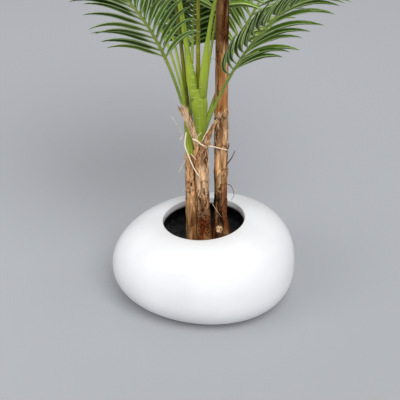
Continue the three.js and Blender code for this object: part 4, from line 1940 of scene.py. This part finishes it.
    def build_shade_sheet(self, film: bpy.types.Material) -> bpy.types.Object:
        """Build a thin black sheet over the hollow's wall below the collar, painted shade for the
        pot's dark inside.

        Args:
            film: The sheet's near-black material, which paints the shade.

        Returns:
            The piece.
        """
        # Painted shade: a near-black sheet just inside the hollow's wall, where the pot's inside lies
        # in shade.
        bm = Modeller.spin([(1, 0, i) for i in range(self.SHADE_SHEET_ROWS + 1)], self.SEGMENTS)
        for vert in bm.verts:
            place = self.under(math.atan2(vert.co.y, vert.co.x), vert.co.z / self.SHADE_SHEET_ROWS)
            inner = 1 - self.SHADE_SHEET_GAP / place.xy.length
            vert.co = Vector((place.x * inner, place.y * inner, place.z - self.SHADE_SHEET_GAP * 0.5))
        bmesh.ops.recalc_face_normals(bm, faces=bm.faces)
        bmesh.ops.solidify(bm, geom=bm.faces[:], thickness=self.FILM)
        return Modeller.finish("pot_shade_sheet", bm, "soil_dark", [film])


@dataclass
class SoilBed:
    """The dark fill: an uneven bed with lumps of bark and earth."""

    pot: PebblePot
    lumps: int = 420

    RINGS = 46
    SEGMENTS = 96
    MARGIN = 0.995
    DEPTH = 0.009
    LUMP_REACH = 0.15
    STEM_GAP = 0.005
    CRUMBS = 0.8
    BUMPS = 0.35
    ROLL, ROLL_SCALE = 0.004, 55
    GRIT, GRIT_SCALE = 0.0025, 170
    SETTLED = 0.001
    CRUMB_SIZES = (0.0025, 0.0085)
    LUMP_SIZES = (0.009, 0.013)
    STRETCHES = ((0.8, 1.4), (0.8, 1.4), (0.4, 0.8))

    def height(self, place: Vector) -> float:
        """Work out how high the bed rolls.

        Args:
            place: A place seen from above.

        Returns:
            The bed's height there.
        """
        flat = Vector((place.x, place.y, 0))
        rolling = self.ROLL * noise.noise(flat * self.ROLL_SCALE)
        return SOIL_TOP + rolling + self.GRIT * noise.noise(flat * self.GRIT_SCALE) - self.SETTLED

    def build(self, earth: bpy.types.Material) -> bpy.types.Object:
        """Build the bed and its lumps.

        Args:
            earth: The soil material.

        Returns:
            The piece.
        """
        bm = Modeller.spin([(i, 0, 0) for i in range(self.RINGS + 1)], self.SEGMENTS)
        for vert in bm.verts:
            share = vert.co.xy.length / self.RINGS
            reach = self.pot.under(math.atan2(vert.co.y, vert.co.x), 1.0)
            vert.co = Vector((reach.x * share, reach.y * share, 0)) * self.MARGIN
            vert.co.z = self.height(vert.co)
        low = bmesh.ops.extrude_face_region(bm, geom=bm.faces[:])["geom"]
        for item in low:
            if isinstance(item, bmesh.types.BMVert):
                item.co.z = SOIL_TOP - self.DEPTH
        self.add_lumps(bm)
        return Modeller.finish("soil_bed", bm, "soil_dark", [earth], ["soil"])

    def add_lumps(self, bm: bmesh.types.BMesh) -> None:
        """Scatter lumps of bark and earth over the bed that shows.

        Args:
            bm: The bed's mesh.
        """
        wild = random.Random(SEED + 1)
        for _ in range(self.lumps):
            angle, reach = wild.uniform(0, TURN), self.LUMP_REACH * math.sqrt(wild.random())
            centre = Vector((reach * math.cos(angle), reach * math.sin(angle), 0))
            centre.z = self.height(centre)
            if any((centre - stem.axis(SOIL_TOP)).xy.length < stem.flare + self.STEM_GAP
                   for stem in STEMS.values()):
                continue
            sizes = self.CRUMB_SIZES if wild.random() < self.CRUMBS else self.LUMP_SIZES
            size = wild.uniform(*sizes)
            lump = bmesh.ops.create_icosphere(bm, subdivisions=2, radius=size)["verts"]
            stretch = Vector(wild.uniform(*span) for span in self.STRETCHES)
            for vert in lump:
                bumpy = 1 + self.BUMPS * noise.noise(vert.co * 130 + centre * 90)
                vert.co = Vector(a * b * bumpy for a, b in zip(vert.co, stretch)) + centre


class LightKind(Enum):
    """The kinds of light in the studio."""

    SUN = "SUN"
    AREA = "AREA"


@dataclass(frozen=True)
class Lamp:
    """A light of the studio, aimed at a point of the plant."""

    name: str
    kind: LightKind
    place: Point
    aim: Point
    power: float
    size: float

    def build(self) -> None:
        """Hang the lamp in the scene."""
        light = bpy.data.lights.new(self.name, self.kind.value)
        light.energy = self.power
        if self.kind is LightKind.SUN:
            light.angle = self.size
        else:
            light.size = self.size
        lamp = add_object(self.name, light)
        lamp.location = self.place
        way = Vector(self.aim) - Vector(self.place)
        lamp.rotation_euler = way.to_track_quat("-Z", "Y").to_euler()


@dataclass(frozen=True)
class Studio:
    """The plain pale floor, soft light and the photograph's viewpoint."""

    eye: Point = (-0.010, -1.7304, 1.305)
    look_down: float = 30.1
    sensor: float = 36.0
    focal: float = 758 / 400 * 36
    floor_colour: Colour = (0.385, 0.395, 0.415)
    sky_colour: Colour = (0.78, 0.79, 0.82)
    sky_strength: float = 0.42

    FLOOR_RADIUS = 60.0
    FLOOR_SIDES = 96
    NEAR = 0.05
    LAMPS = (
        Lamp("key", LightKind.SUN, (0.9, -2.6, 3.9), (0, 0, 0.5), 2.6, 0.7),
        Lamp("fill", LightKind.AREA, (-2.6, -1.8, 2.2), (0, 0, 0.4), 38, 2.2),
        Lamp("top", LightKind.AREA, (0.2, 1.2, 4.2), (0, 0.2, 0.4), 30, 2.6),
    )

    def build(self) -> None:
        """Make the floor, lights, world and camera."""
        self.lay_floor()
        for lamp in self.LAMPS:
            lamp.build()
        self.light_sky()
        self.set_camera()

    def lay_floor(self) -> None:
        """Make the floor."""
        bm = bmesh.new()
        bmesh.ops.create_circle(
            bm, cap_ends=True, segments=self.FLOOR_SIDES, radius=self.FLOOR_RADIUS)
        mesh = bpy.data.meshes.new("floor")
        bm.to_mesh(mesh)
        bm.free()
        floor = add_object("floor", mesh)
        material, tree, shader = Finish.start("pale floor", 0.9)
        shader.inputs["Base Color"].default_value = (*self.floor_colour, 1)
        mesh.materials.append(material)

    def light_sky(self) -> None:
        """Fill the world with an even light."""
        world = bpy.data.worlds.new("soft studio")
        world.use_nodes = True
        sky = world.node_tree.nodes["Background"].inputs
        sky["Color"].default_value = (*self.sky_colour, 1)
        sky["Strength"].default_value = self.sky_strength
        bpy.context.scene.world = world

    def set_camera(self) -> None:
        """Set up the photograph's viewpoint."""
        data = bpy.data.cameras.new("view")
        data.lens = self.focal
        data.sensor_width = self.sensor
        data.clip_start = self.NEAR
        bpy.context.scene.view_settings.view_transform = "Standard"
        camera = add_object("view", data)
        camera.location = self.eye
        camera.rotation_euler = (math.radians(90 - self.look_down), 0, 0)
        bpy.context.scene.camera = camera


STRAW_ROUTES = (
    Strand(0.0023, ((-0.0286, -0.030, 0.4945), (-0.0150, -0.031, 0.4876), (-0.0038, -0.030, 0.4775),
                    (0.0213, -0.021, 0.4690), (0.0429, -0.014, 0.4595), (0.0595, -0.010, 0.4538))),
    Strand(0.0024, ((-0.0442, -0.010, 0.5024), (-0.0477, -0.012, 0.4687), (-0.0384, -0.014, 0.4380),
                    (-0.0258, -0.024, 0.4102), (-0.0100, -0.030, 0.3856))),
    Strand(0.0013, ((-0.0177, -0.029, 0.4981), (-0.0068, -0.030, 0.5117))),
    Strand(0.0006, ((-0.0804, -0.020, 0.5507), (-0.0667, -0.020, 0.5274), (-0.0536, -0.014, 0.4983))),
    Strand(0.0012, ((-0.0600, -0.014, 0.4836), (-0.0524, -0.012, 0.4964))),
    Strand(0.0012, ((-0.0319, -0.026, 0.4500), (-0.0193, -0.029, 0.4351))),
    Strand(0.0007, ((-0.0645, -0.010, 0.3894), (-0.0548, -0.008, 0.4100), (-0.0462, -0.006, 0.4234))),
    Strand(0.0005, ((0.0228, -0.016, 0.2997), (0.0348, -0.018, 0.2789), (0.0481, -0.014, 0.2564))),
)
TWIG_ROUTES = (
    Strand(0.0018, ((0.0560, -0.002, 0.4042), (0.0700, -0.012, 0.4321), (0.0783, -0.014, 0.4540))),
    Strand(0.0020, ((0.0560, 0.000, 0.4440), (0.0622, -0.006, 0.4600), (0.0626, -0.006, 0.4714))),
    Strand(0.0011, ((0.0560, -0.004, 0.3545), (0.0712, -0.012, 0.3499), (0.0786, -0.014, 0.3251),
                    (0.0720, -0.012, 0.3089))),
    Strand(0.0004, ((0.0268, -0.004, 0.6905), (0.0172, -0.010, 0.6942), (0.0147, -0.010, 0.6887),
                    (0.0173, -0.010, 0.6842))),
    Strand(0.0004, ((0.0271, -0.004, 0.7309), (0.0181, -0.010, 0.7345))),
)

TICKS = (
    (-0.026, -0.0150, 0.681, 0.009), (-0.026, -0.0160, 0.668, 0.010),
    (-0.027, -0.0170, 0.651, 0.010), (-0.026, -0.0190, 0.632, 0.012),
    (-0.026, -0.0200, 0.617, 0.012), (-0.026, -0.0205, 0.600, 0.012),
    (-0.006, -0.0200, 0.661, 0.007), (-0.007, -0.0210, 0.644, 0.009),
    (-0.008, -0.0215, 0.627, 0.010), (-0.010, -0.0205, 0.594, 0.010),
    (-0.011, -0.0212, 0.578, 0.012), (-0.014, -0.0220, 0.546, 0.012),
    (0.001, -0.0200, 0.557, 0.007), (-0.016, -0.0222, 0.523, 0.007),
)
# A dented hole: its dark share is painted shade inside the hole, with a little rust.
SHADED_HOLE = Tone(dark=1.0, rust=0.3)
TRUNKS = (
    Trunk(
        STEMS["left"], 3.1, (0.305, 0.372, 0.437),
        (Band(0.372, 0.460, Tone(orange=0.55, pale=0.2)),
         Band(0.330, 0.372, Tone(dark=0.1, rust=0.55, orange=0.3, pits=0.5)),
         Band(0.150, 0.318, Tone(dark=0.3, orange=0.35))),
        (Patch(-2.27, 0.357, 0.003, 0.004, SHADED_HOLE, 0.0025),
         Patch(-2.85, 0.345, 0.003, 0.045, Tone(dark=0.9), 0.001),
         Patch(-1.55, 0.352, 0.004, 0.006, SHADED_HOLE, 0.002),
         Patch(-2.60, 0.230, 0.0025, 0.060, Tone(dark=0.8), 0.001),
         Patch(-0.90, 0.380, 0.003, 0.030, Tone(dark=0.9))),
        rise=0.008),
    Trunk(
        STEMS["middle"], 7.7, (0.268, 0.330, 0.400, 0.452),
        (Band(0.418, 0.500, Tone(dark=0.4, rust=0.25)),
         Band(0.325, 0.420, Tone(pale=0.8)),
         Band(0.262, 0.335, Tone(rust=0.3, pale=0.2, orange=1.0, pits=1.0)),
         Band(0.150, 0.262, Tone(dark=0.2, rust=0.8, orange=0.5, pits=1.0))),
        (Patch(-2.50, 0.440, 0.010, 0.038, Tone(dark=0.2, rust=0.15), -0.004),
         Patch(-1.35, 0.344, 0.0028, 0.011, SHADED_HOLE, 0.003),
         Patch(-0.95, 0.435, 0.005, 0.018, Tone(dark=0.8, rust=0.5), 0.001),
         Patch(-2.20, 0.318, 0.003, 0.008, SHADED_HOLE, 0.002),
         Patch(-1.15, 0.300, 0.003, 0.005, SHADED_HOLE, 0.002),
         Patch(-1.70, 0.285, 0.0035, 0.004, SHADED_HOLE, 0.002),
         Patch(-1.95, 0.256, 0.003, 0.004, SHADED_HOLE, 0.002),
         Patch(-1.10, 0.262, 0.0035, 0.006, SHADED_HOLE, 0.002)),
        flare=0.0015),
    Trunk(
        STEMS["tall"], 12.4, (0.300, 0.392, 0.560),
        (Band(0.560, 1.200, Tone(dark=0.15, rust=0.2, orange=1.0)),
         Band(0.725, 1.200, Tone(dark=0.8, rust=0.2, orange=0.8, pits=0.7), 0.03),
         Band(0.430, 0.560, Tone(pale=0.25)),
         Band(0.500, 0.556, Tone(dark=0.45, rust=0.25)),
         Band(0.300, 0.388, Tone(dark=0.6, pale=0.1)),
         Band(0.150, 0.335, Tone(dark=0.95, rust=0.9, pits=0.4))),
        (Patch(-1.42, 0.349, 0.004, 0.005, SHADED_HOLE, 0.004),
         Patch(-1.68, 0.338, 0.005, 0.006, SHADED_HOLE, 0.004),
         Patch(-2.10, 0.304, 0.003, 0.005, SHADED_HOLE, 0.002),
         Patch(-2.65, 0.350, 0.004, 0.040, Tone(dark=0.9), 0.001),
         Patch(-1.13, 0.378, 0.003, 0.003, SHADED_HOLE, 0.002),
         Patch(-1.35, 0.283, 0.003, 0.005, SHADED_HOLE, 0.002),
         Patch(-0.60, 0.260, 0.003, 0.008, SHADED_HOLE, 0.002),
         Patch(-1.84, 0.262, 0.003, 0.005, SHADED_HOLE, 0.002),
         Patch(-1.74, 0.2195, 0.0065, 0.010, Tone(pale=1.0, pits=0.7), -0.001),
         Patch(-2.25, 0.830, 0.0130, 0.130, Tone(dark=0.65, orange=0.6), 0.0004),
         Patch(-0.95, 0.780, 0.0020, 0.090, Tone(dark=1.0, orange=0.5), 0.0006),
         Patch(-2.20, 0.640, 0.0022, 0.060, Tone(dark=0.8, orange=0.6), 0.0006),
         Patch(-2.75, 0.500, 0.004, 0.070, Tone(dark=0.7))),
        flare=0.0055),
)


class Greens:
    """The green finishes, each built once and shared by fronds and shafts."""

    def __init__(self) -> None:
        """Build the materials."""
        self.leaves = [tone.value.build() for tone in LeafTone]
        self.stalks = {tone: tone.value.build() for tone in StalkTone}


def build_fronds(greens: Greens) -> None:
    """Build every frond, each with its own seed.

    Args:
        greens: The green finishes.
    """
    for i, spec in enumerate([*VISIBLE_FRONDS, *TallCrown().specs()]):
        frond = Frond(spec)
        frond.build_stalk(greens.stalks[spec.stalk])
        frond.build_leaflets(greens.leaves, SEED + 10 * i)


def build_stems(fibres: bpy.types.NodeTree, skin: bpy.types.Material) -> None:
    """Build trunks, shafts, husks and loose fibres.

    Args:
        fibres: The shared fibre group.
        skin: The shafts' green skin.
    """
    bark = BarkFinish().build(fibres)
    husk = FibreFinish("husk", (0.9, 0.6, 0.35), (0.5, 0.27, 0.12), (0.06, 0.025, 0.01),
                       pitch=1.6).build(fibres)
    straw = FibreFinish("straw", (0.98, 0.86, 0.64), (0.92, 0.74, 0.5),
                        (0.7, 0.5, 0.28)).build(fibres)
    twig = FibreFinish("twig", (0.2, 0.09, 0.045), (0.12, 0.05, 0.025),
                       (0.05, 0.02, 0.01)).build(fibres)
    for trunk in TRUNKS:
        trunk.build(bark)
        Shaft(trunk.stem).build(skin)
    Husk("husk_left", (-0.017, -0.022, 0.464), (-0.028, -0.037, 0.532),
         (-0.057, -0.058, 0.598), (0.014, 0.021), strands=46).build(husk, straw, twig)
    Husk("husk_right", (0.004, -0.022, 0.464), (0.002, -0.047, 0.502),
         (0.029, -0.044, 0.549), (0.029, 0.006), strands=60).build(husk, straw, twig)
    LooseFibres(STRAW_ROUTES, TWIG_ROUTES).build(straw, twig, husk)


def main() -> None:
    """Build the plant, its pot and the studio."""
    logging.basicConfig(level=logging.INFO)
    fibres = UprightFibres().build()
    Studio().build()
    pot = PebblePot()
    pot.build(LacquerFinish().build())
    earth = SoilFinish("soil").build()
    # Painted shade: a near-black sheet darkens the pot's hollow below the collar.
    pot.build_shade_sheet(SoilFinish("painted shade sheet", crumb=(0.006, 0.006, 0.006)).build())
    SoilBed(pot).build(earth)
    greens = Greens()
    build_stems(fibres, greens.stalks[StalkTone.LIME])
    build_fronds(greens)
    RingMarks(TICKS).build(MarkFinish().build())


if __name__ == "__main__":
    main()
